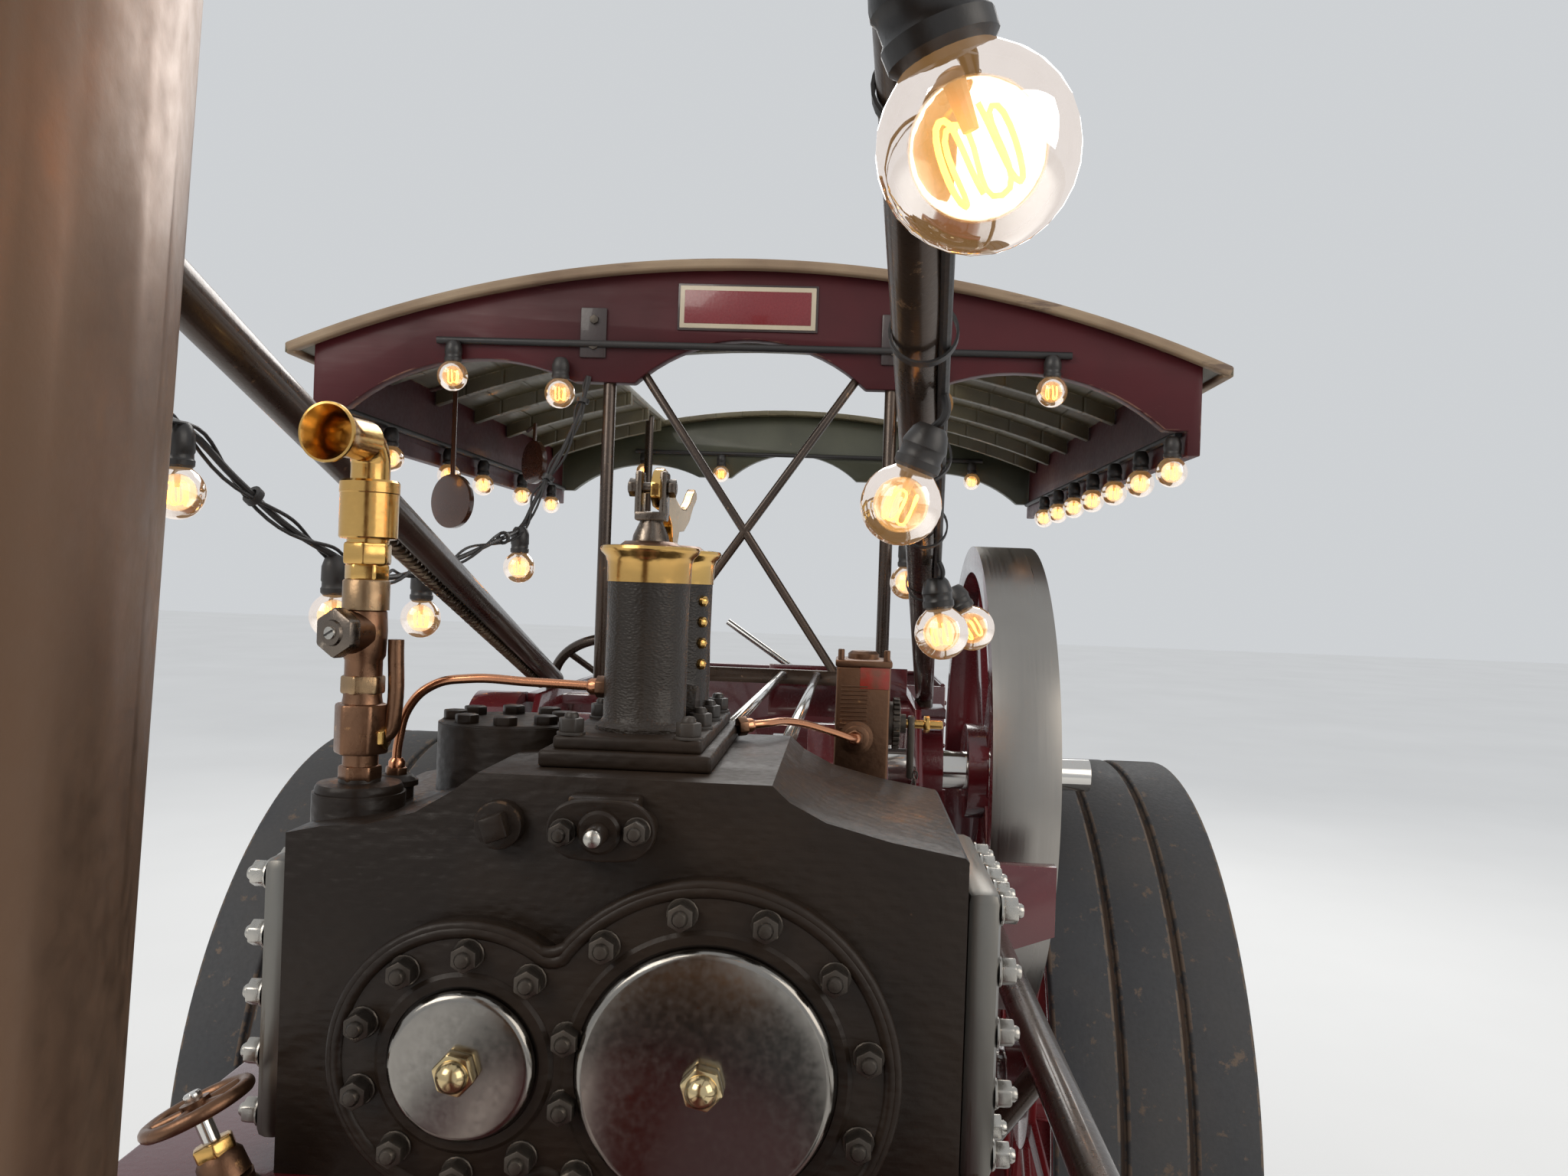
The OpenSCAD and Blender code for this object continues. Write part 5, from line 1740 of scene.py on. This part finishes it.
@dataclass
class StayLights(SubAssembly):
    """The lamps and cables strung along and beside the two chimney stays."""

    top: Triple = (1.348, 0.1364, 1.4833)
    foot: Triple = (-0.188, 0.256, 1.107)
    tube: float = 0.0125
    cable: float = 0.003
    thin: float = 0.0016

    def on_stay(self, x: float, side: Side) -> Vector:
        """The point of one side's stay axis at x.

        Args:
            x: Place along the engine.
            side: Left or right stay.

        Returns:
            The point.
        """
        share = (x - self.top[0]) / (self.foot[0] - self.top[0])
        spot = Vector(self.top).lerp(Vector(self.foot), share)
        spot.y *= side
        return spot

    def tied(self, first: float, last: float, side: Side, offset: Point, step: float = 0.06) -> list[Vector]:
        """Points of a cable tied along a stay.

        Args:
            first: Where it starts, along the engine.
            last: Where it ends.
            side: Left or right stay.
            offset: Shift from the stay's axis.
            step: Distance between the points.

        Returns:
            The points.
        """
        count = max(2, round((first - last) / step))
        return [self.on_stay(first + (last - first) * i / count, side) + Vector(offset)
                + Vector((0, 0, 0.0015 * math.sin(i * 2.1))) for i in range(count + 1)]

    def ties(self, xs: Iterable[float], side: Side) -> None:
        """Narrow bands that hold the cable to the stay.

        Args:
            xs: Places along the engine.
            side: Left or right stay.
        """
        way = (Vector(self.foot) - Vector(self.top)).normalized()
        way.y *= side
        reach = self.tube + self.cable + 0.001
        band = Bench.lathe([(reach - 0.0012, -0.0025), (reach, -0.0025), (reach, 0.0025),
                            (reach - 0.0012, 0.0025), (reach - 0.0012, -0.0025)], steps=28)
        shift = Vector((0, side * 0.83, -0.56)) * self.cable
        self.add(Bench.spread(band, [facing(way, self.on_stay(x, side) + shift) for x in xs]), CABLE)

    def left(self) -> None:
        """The left stay's tied cable, its lamps and their leads."""
        offset = (0.0, 0.0125, -0.0085)
        self.add(Bench.pipe(self.tied(1.335, 0.31, Side.LEFT, offset), self.cable, 3), CABLE)
        self.ties((1.26, 1.05, 0.88, 0.72, 0.58, 0.42), Side.LEFT)
        hung = [((1.189, 0.167, 1.337), (0.12, -0.38, 0.92)), ((0.825, 0.17, 1.2905), (0.1, 0.34, 0.93)),
                ((0.51, 0.219, 1.215), (0.02, -0.14, 0.99)), ((0.32, 0.263, 1.214), (0.0, -0.48, 0.88))]
        lamps = FestoonLamps(tall=0.043)
        places = []
        for spot, way in hung:
            place = facing(way, spot)
            places.append(place)
            head = place @ Vector((0, 0, 0.041))
            join = self.on_stay(spot[0] + 0.01, Side.LEFT) + Vector(offset)
            middle = head.lerp(join, 0.5) + Vector((0.004, 0.004, -0.003))
            self.add(Bench.pipe([head, middle, join], self.thin * 1.4, 3), CABLE)
        lamps.build(places, "stay_lamps")

    def right(self) -> None:
        """The twisted cable that lies under the right stay."""
        first, last, pitch, lay = 0.56, -0.16, 0.034, 0.0034
        steps = round((first - last) / pitch * 10)
        for strand in range(3):
            points = []
            for i in range(steps + 1):
                turn = FULL_TURN * (i / 10 + strand / 3)
                spot = self.on_stay(first + (last - first) * i / steps, Side.RIGHT)
                points.append(spot + Vector((0, -0.0145 + lay * math.cos(turn),
                                             -0.0115 + lay * math.sin(turn))))
            self.add(Bench.pipe(points, 0.003, 2), CABLE_SHEEN)

    def hanging(self, points: Sequence[Point], stem: str, bulbs: Sequence[Point]) -> None:
        """A free cable with two thin wires round it and lamps under it.

        Args:
            points: The cable's route; it starts where it leaves the engine.
            stem: First part of the pieces' names.
            bulbs: Centres of the lamps that hang on it.
        """
        route = Bench.smooth_route(points, 6)
        cable = Bench.polytube(route, self.cable)
        Bench.label(cable, stem + "_cable")
        Bench.coat(cable, CABLE.material())
        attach(cable, self.body)
        for phase, swing in ((0.0, 0.0062), (2.2, 0.0072)):
            loose = []
            for i, spot in enumerate(route):
                share = min(1.0, i / 6, (len(route) - 1 - i) / 6)
                turn = i * 0.42 + phase
                loose.append(spot + Vector((0, swing * math.cos(turn),
                                            swing * math.sin(turn))) * (0.45 + 0.55 * share))
            wire = Bench.polytube(loose, self.thin)
            self.add(wire, CABLE)
        band = Bench.lathe([(0.005, -0.003), (0.0085, -0.003), (0.0085, 0.003), (0.005, 0.003),
                            (0.005, -0.003)], steps=16)
        marks = [facing(route[i + 1] - route[i], route[i]) for i in range(10, len(route) - 6, 14)]
        self.add(Bench.spread(band, marks), CABLE)
        self.deliver(stem)
        self.made.clear()
        lamps = FestoonLamps(tall=0.054)
        lamps.build([Matrix.Translation(spot) for spot in bulbs], stem + "_lamps")

    def build(self) -> None:
        """Builds both free cables first, then what is tied to the stays."""
        self.hanging([(1.33, -0.15, 1.47), (1.2, -0.205, 1.424), (1.02, -0.275, 1.385), (0.82, -0.34, 1.362),
                      (0.66, -0.368, 1.356), (0.556, -0.37, 1.3545), (0.5, -0.354, 1.318),
                      (0.45, -0.333, 1.282), (0.402, -0.312, 1.259), (0.33, -0.308, 1.243),
                      (0.26, -0.309, 1.243), (0.191, -0.31, 1.252), (0.1, -0.306, 1.264),
                      (-0.02, -0.299, 1.289), (-0.125, -0.294, 1.313), (-0.15, -0.282, 1.352),
                      (-0.168, -0.262, 1.401), (-0.18, -0.243, 1.451), (-0.188, -0.23, 1.495),
                      (-0.192, -0.225, 1.53)], "right_festoon",
                     [(0.556, -0.37, 1.302), (0.402, -0.312, 1.206), (0.191, -0.31, 1.199),
                      (-0.125, -0.294, 1.26)])
        self.hanging([(0.31, 0.2297, 1.22), (0.24, 0.24, 1.229), (0.16, 0.241, 1.247),
                      (0.08, 0.233, 1.276), (0.015, 0.224, 1.295), (-0.04, 0.219, 1.3105),
                      (-0.095, 0.218, 1.342), (-0.135, 0.221, 1.388), (-0.165, 0.225, 1.44),
                      (-0.186, 0.228, 1.495), (-0.192, 0.229, 1.53)], "left_festoon",
                     [(-0.04, 0.219, 1.2575)])
        self.left()
        self.right()
        self.deliver("stay_wiring")


@dataclass
class CanopyTrim(SubAssembly):
    """Blank name panel, strap plates and the rubbed wood edge of the roof."""

    board_front: float = -0.196
    roof_front: float = -0.184
    roof_rear: float = -1.628
    roof_r: float = 1.691
    roof_centre: float = 0.005
    roof_half: float = 0.655
    soft: float = 0.004
    panel_y: Pair = (-0.1, 0.089)
    panel_z: Pair = (1.601, 1.66)
    plates: Pair = (-0.22, 0.199)

    def panel(self) -> None:
        """A blank panel in a cream border."""
        x = self.board_front
        (y0, y1), (z0, z1) = self.panel_y, self.panel_z
        edge = 0.0065
        self.add(Bench.block((x - 0.001, y0, z0), (x + 0.0035, y1, z1), 0.0012), CREAM)
        self.add(Bench.block((x - 0.001, y0 + edge, z0 + edge), (x + 0.0042, y1 - edge, z1 - edge), 0.0006),
                 PANEL_RED)
        self.add(Bench.block((x - 0.001, y0 - 0.003, z0 - 0.003), (x + 0.0022, y1 + 0.003, z1 + 0.003),
                             0.001), PANEL_DARK)

    def straps(self) -> None:
        """Two black plates, each with two bolts, where the posts are fixed."""
        x = self.board_front
        for y in self.plates:
            self.add(Bench.block((x - 0.001, y - 0.0185, 1.556), (x + 0.004, y + 0.0185, 1.626), 0.002),
                     PANEL_DARK)
            spots = [facing(Way.FORWARD, (x + 0.0035, y + 0.001, z)) for z in (1.573, 1.609)]
            self.add(Bench.spread(Bench.hexagon(0.0115, 0.0045), spots), NUT_STEEL)

    def arc_trim(self, x0: float, x1: float) -> Piece:
        """A half-round wood strip over the roof's curved edge between two planes.

        Args:
            x0: Rear plane.
            x1: Front plane.

        Returns:
            The strip.
        """
        r, thick = self.roof_r, 0.0145
        reach = math.asin(self.roof_half / r)
        steps = 48
        obj = Bench.line([(x0, 0, r - thick), (x0, 0, r), (x1, 0, r), (x1, 0, r - thick)])
        bpy.ops.mesh.edge_face_add()
        bpy.ops.transform.rotate(value=-reach, orient_axis="X", center_override=(0, 0, 0))
        bpy.ops.mesh.select_all(action="SELECT")
        bpy.ops.mesh.spin(steps=steps, angle=2 * reach, center=(0, 0, 0), axis=(1, 0, 0),
                          use_normal_flip=False)
        Bench.close(obj)
        Bench.put(obj, Matrix.Translation((0, 0, self.roof_centre)))
        return obj

    def build(self) -> None:
        """Builds the trim."""
        self.panel()
        self.straps()
        front, rear = self.roof_front, self.roof_rear
        for x0, x1 in ((front - 0.012, front + 0.005), (rear, rear + 0.014)):
            strip = self.arc_trim(x0, x1)
            Bench.round_edges(strip, self.soft, 3)
            self.add(strip, TRIM_WOOD)
        eave = self.roof_centre + math.sqrt(self.roof_r ** 2 - self.roof_half ** 2)
        for side in reversed(Side):
            y = side * (self.roof_half - 0.0075)
            self.add(Bench.block((rear + 0.002, y - 0.0074, eave - 0.0145),
                                 (front, y + 0.0074, eave + 0.0015), self.soft, 3), TRIM_WOOD)
        self.deliver("canopy_trim")


@dataclass
class RivetsAndBolts(SubAssembly):
    """Rivets on the smokebox and the tender, and the tender's beading."""

    smokebox_r: float = 0.236
    rivet: float = 0.0055
    tender_half: float = 0.36
    bunker: float = -1.06
    rows: Pair = (0.418, 1.032)
    column: Pair = (0.43, 1.03)
    side_top: float = 0.9

    def dome(self) -> Piece:
        """A snap-headed rivet, standing on the origin."""
        r = self.rivet
        return Bench.lathe([(0, -0.001), (r, -0.001), (r, 0), (r * 0.86, r * 0.45), (r * 0.5, r * 0.72),
                            (0, r * 0.8)], steps=12)

    def smokebox(self) -> None:
        """Two rings of rivets round the smokebox."""
        spots = []
        count = 40
        for x in (1.181, 1.418):
            for i in range(count):
                turn = FULL_TURN * i / count
                out = Vector((0, math.cos(turn), math.sin(turn)))
                spots.append(facing(out, Vector((x, 0, BOILER_Z)) + out * self.smokebox_r))
        self.add(Bench.spread(self.dome(), spots), SOOT_BLACK)

    def tender(self) -> None:
        """Rows of rivets along the tender's sides and back."""
        low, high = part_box("tender")
        pitch, margin = 0.045, 0.016
        spots = []
        for side in reversed(Side):
            y = side * self.tender_half
            for x in (low.x + margin, self.bunker):
                start, end = self.column
                count = int((end - start) / pitch)
                spots += [facing((0, side, 0), (x, y, start + i * pitch)) for i in range(count + 1)]
            count = int((high.x - low.x - 2 * margin) / pitch)
            spots += [facing((0, side, 0), (low.x + margin + i * pitch, y, self.rows[0]))
                      for i in range(1, count)]
        for z in self.rows:
            spots += [facing(Way.BACK, (low.x, -0.34 + i * pitch, z)) for i in range(16)]
        self.add(Bench.spread(self.dome(), spots), MAROON)
        self.beads(low, high)

    def beads(self, low: Vector, high: Vector) -> None:
        """Half-round beads along the tender's top edges.

        Args:
            low: Low corner of the tender's box.
            high: High corner of the tender's box.
        """
        bead = 0.0055
        reach = self.tender_half - bead
        for y in (-reach, reach):
            self.add(Bench.rod((low.x + bead, y, high.z), (self.bunker, y, high.z), bead, 16), MAROON)
            self.add(Bench.rod((self.bunker, y, self.side_top), (high.x - bead, y, self.side_top), bead, 16),
                     MAROON)
        self.add(Bench.rod((low.x + bead, -reach, high.z), (low.x + bead, reach, high.z), bead, 16), MAROON)

    def build(self) -> None:
        """Builds the fastenings that ride on the engine itself."""
        self.smokebox()
        self.tender()
        self.deliver("rivets")


@dataclass
class HubBolts(SubAssembly):
    """A ring of nuts on the outer face of a rear hub."""

    side: Side = Side.LEFT
    reach: float = 0.643
    circle: float = 0.082
    axle: Pair = (-0.433, 0.495)

    def build(self) -> None:
        """Builds the ring on its wheel's body."""
        centre = (self.axle[0], self.side * self.reach, self.axle[1])
        place = facing((0, self.side, 0), centre)
        self.add(Bench.spread(Bench.stud_nut(0.016, 0.0068, 0.0034), Bench.ring(10, self.circle, place)),
                 BRIGHT_NUT)
        self.deliver("hub_" + self.side.word)


@dataclass
class BackHead(SubAssembly):
    """Pressure gauge and water gauge over the fire door."""

    gauge: float = 0.04

    def build(self) -> None:
        """Builds both gauges on the firebox's rear plate."""
        low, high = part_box("firebox")
        face = low.x
        at = facing(Way.BACK, (face + 0.001, 0.095, high.z - 0.1))
        r = self.gauge
        self.add(Bench.lathe([(0, 0), (r - 0.004, 0), (r, 0.004), (r, 0.02), (r - 0.002, 0.023),
                              (r - 0.006, 0.023), (r - 0.006, 0.018), (0, 0.018)], at, 56), BRASS)
        self.add(Bench.lathe([(0, 0.0175), (r - 0.0062, 0.0175), (r - 0.0062, 0.0186), (0, 0.0186)], at, 48),
                 CREAM)
        needle = Bench.block((-0.0012, -0.006, 0.0188), (0.0012, 0.024, 0.0196), 0.0003, 1)
        self.add(Bench.put(needle, at @ Matrix.Rotation(0.9, 4, "Z")), LAMP_BLACK)
        x, y, z = face - 0.03, -0.11, high.z - 0.17
        self.add(Bench.rod((x, y, z), (x, y, z + 0.12), 0.0055, 20), GLOBE_CLEAR)
        for level in (z - 0.004, z + 0.124):
            self.add(Bench.rod((face + 0.001, y, level), (x - 0.004, y, level), 0.007, 20), BRASS)
            self.add(Bench.hexagon(0.02, 0.014, facing(Way.UP, (x, y, level - 0.007))), BRASS)
            self.add(Bench.rod((x, y, level), (x - 0.026, y, level), 0.0045, 16), BRASS)
        self.deliver("backhead")


@dataclass
class Studio:
    """Floor, soft lights, world and the photograph's camera."""

    eye: Triple = (1.432, 0.1432, 1.246)
    image: Pair = (2048.0, 1536.0)
    vanish: Pair = (1104.2, 770.0)
    focal: float = 1539.0
    roll: float = 2.058
    pale: Colour = (0.62, 0.64, 0.66)
    dusk: Colour = (0.36, 0.37, 0.38)
    zenith: Colour = (0.95, 0.97, 1.0)
    brightness: float = 0.8

    def camera(self) -> None:
        """Sets the camera from the engine's own vanishing point in the photograph."""
        away = Vector((self.vanish[0] - self.image[0] / 2, self.vanish[1] - self.image[1] / 2, self.focal))
        away.normalize()
        roll = math.radians(self.roll)
        up = Vector((math.sin(roll), -math.cos(roll), 0))
        up = (up - away * up.dot(away)).normalized()
        across = away.cross(up)
        rows = (-away, across, up)
        right, down, ahead = (Vector(row[i] for row in rows) for i in range(3))
        data = bpy.data.cameras.new("photo_camera")
        data.sensor_width = 36.0
        data.lens = self.focal / self.image[0] * data.sensor_width
        data.clip_start = 0.01
        camera = bpy.data.objects.new("photo_camera", data)
        bpy.context.scene.collection.objects.link(camera)
        turn = Matrix((right, -down, -ahead)).transposed().to_4x4()
        camera.matrix_world = Matrix.Translation(self.eye) @ turn
        bpy.context.scene.camera = camera

    def floor(self) -> None:
        """A wide pale floor."""
        Bench.clear()
        bpy.ops.mesh.primitive_plane_add(size=60, location=(0, 0, 0))
        obj = bpy.context.object
        obj.name = "studio_floor"
        shader = Shader("studio_floor")
        tone = shader.noise(0.8, 3)
        shader.link(shader.ramp(tone, *MIDDLE_NOISE, (0.6, 0.6, 0.59), (0.64, 0.64, 0.63)), 0, shader.surface,
                    "Base Color")
        shader.set(Roughness=0.85, Emission_Color=(*self.pale, 1), Emission_Strength=0.25)
        Bench.coat(obj, shader.material)

    def world(self) -> None:
        """A pale plain background over a soft graded light."""
        world = bpy.data.worlds.new("studio")
        world.use_nodes = True
        bpy.context.scene.world = world
        sky = Nodes(world.node_tree)
        split = sky.node("ShaderNodeSeparateXYZ")
        sky.link(sky.node("ShaderNodeTexCoord"), "Generated", split, 0)
        ramp = sky.node("ShaderNodeValToRGB")
        sky.link(split, "Z", ramp, "Fac")
        low, high = ramp.color_ramp.elements
        low.position, low.color = 0.0, (*self.dusk, 1)
        high.position, high.color = 0.75, (*self.zenith, 1)
        light = sky.node("ShaderNodeBackground", {"Strength": self.brightness})
        sky.link(ramp, 0, light, "Color")
        plain = sky.node("ShaderNodeBackground", {"Color": (*self.pale, 1)})
        path = sky.node("ShaderNodeLightPath")
        seen: tuple[Node, str | int] = (path, "Is Camera Ray")
        for ray in ("Is Glossy Ray", "Is Transmission Ray"):
            either = sky.node("ShaderNodeMath", operation="MAXIMUM")
            sky.link(*seen, either, 0)
            sky.link(path, ray, either, 1)
            seen = (either, 0)
        mix = sky.node("ShaderNodeMixShader")
        sky.link(*seen, mix, 0)
        sky.link(light, 0, mix, 1)
        sky.link(plain, 0, mix, 2)
        sky.link(mix, 0, sky.node("ShaderNodeOutputWorld"), "Surface")

    def lights(self) -> None:
        """Three large soft lamps."""
        table = [("key", (3.6, -3.0, 4.2), 3.0, 120.0, (1.0, 0.94, 0.86)),
                 ("fill", (2.6, 4.2, 3.0), 3.5, 80.0, (1.0, 0.93, 0.84)),
                 ("back", (-4.2, 0.5, 4.0), 3.0, 110.0, (1.0, 0.97, 0.93))]
        target = Vector((0.0, 0.0, 0.9))
        for name, place, size, power, colour in table:
            data = bpy.data.lights.new(name, "AREA")
            data.size, data.energy, data.color = size, power, colour
            lamp = bpy.data.objects.new(name, data)
            lamp.location = place
            lamp.rotation_euler = (target - Vector(place)).to_track_quat("-Z", "Y").to_euler()
            bpy.context.scene.collection.objects.link(lamp)

    def build(self) -> None:
        """Builds the studio."""
        self.camera()
        self.floor()
        self.world()
        self.lights()
        bpy.context.scene.view_settings.view_transform = "Standard"


def main() -> None:
    """Dresses the engine, sub-assembly by sub-assembly."""
    logging.basicConfig(level=logging.INFO, format="%(message)s")
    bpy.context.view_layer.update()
    Studio().build()
    StayLights().build()
    bodies = frame["record"]["behaviour"]["bodies"]
    CarriedNodes(frame["nodes"], bodies).dress()
    for part in (CylinderDressing, SafetyValve, Whistle, Lubricator, HandWheelValve, PipeWork):
        part().build()
    lamps = FestoonLamps()
    lamps.build([Matrix.Translation(spot) for spot in lamps.spots()], "canopy_lamps", "lamp_bulbs",
                "lamp_holders")
    CanopyTrim().build()
    RivetsAndBolts().build()
    for side in Side:
        HubBolts(body=f"rear_wheel_{side.word}_body", side=side).build()
    BackHead().build()


if __name__ == "__main__":
    main()
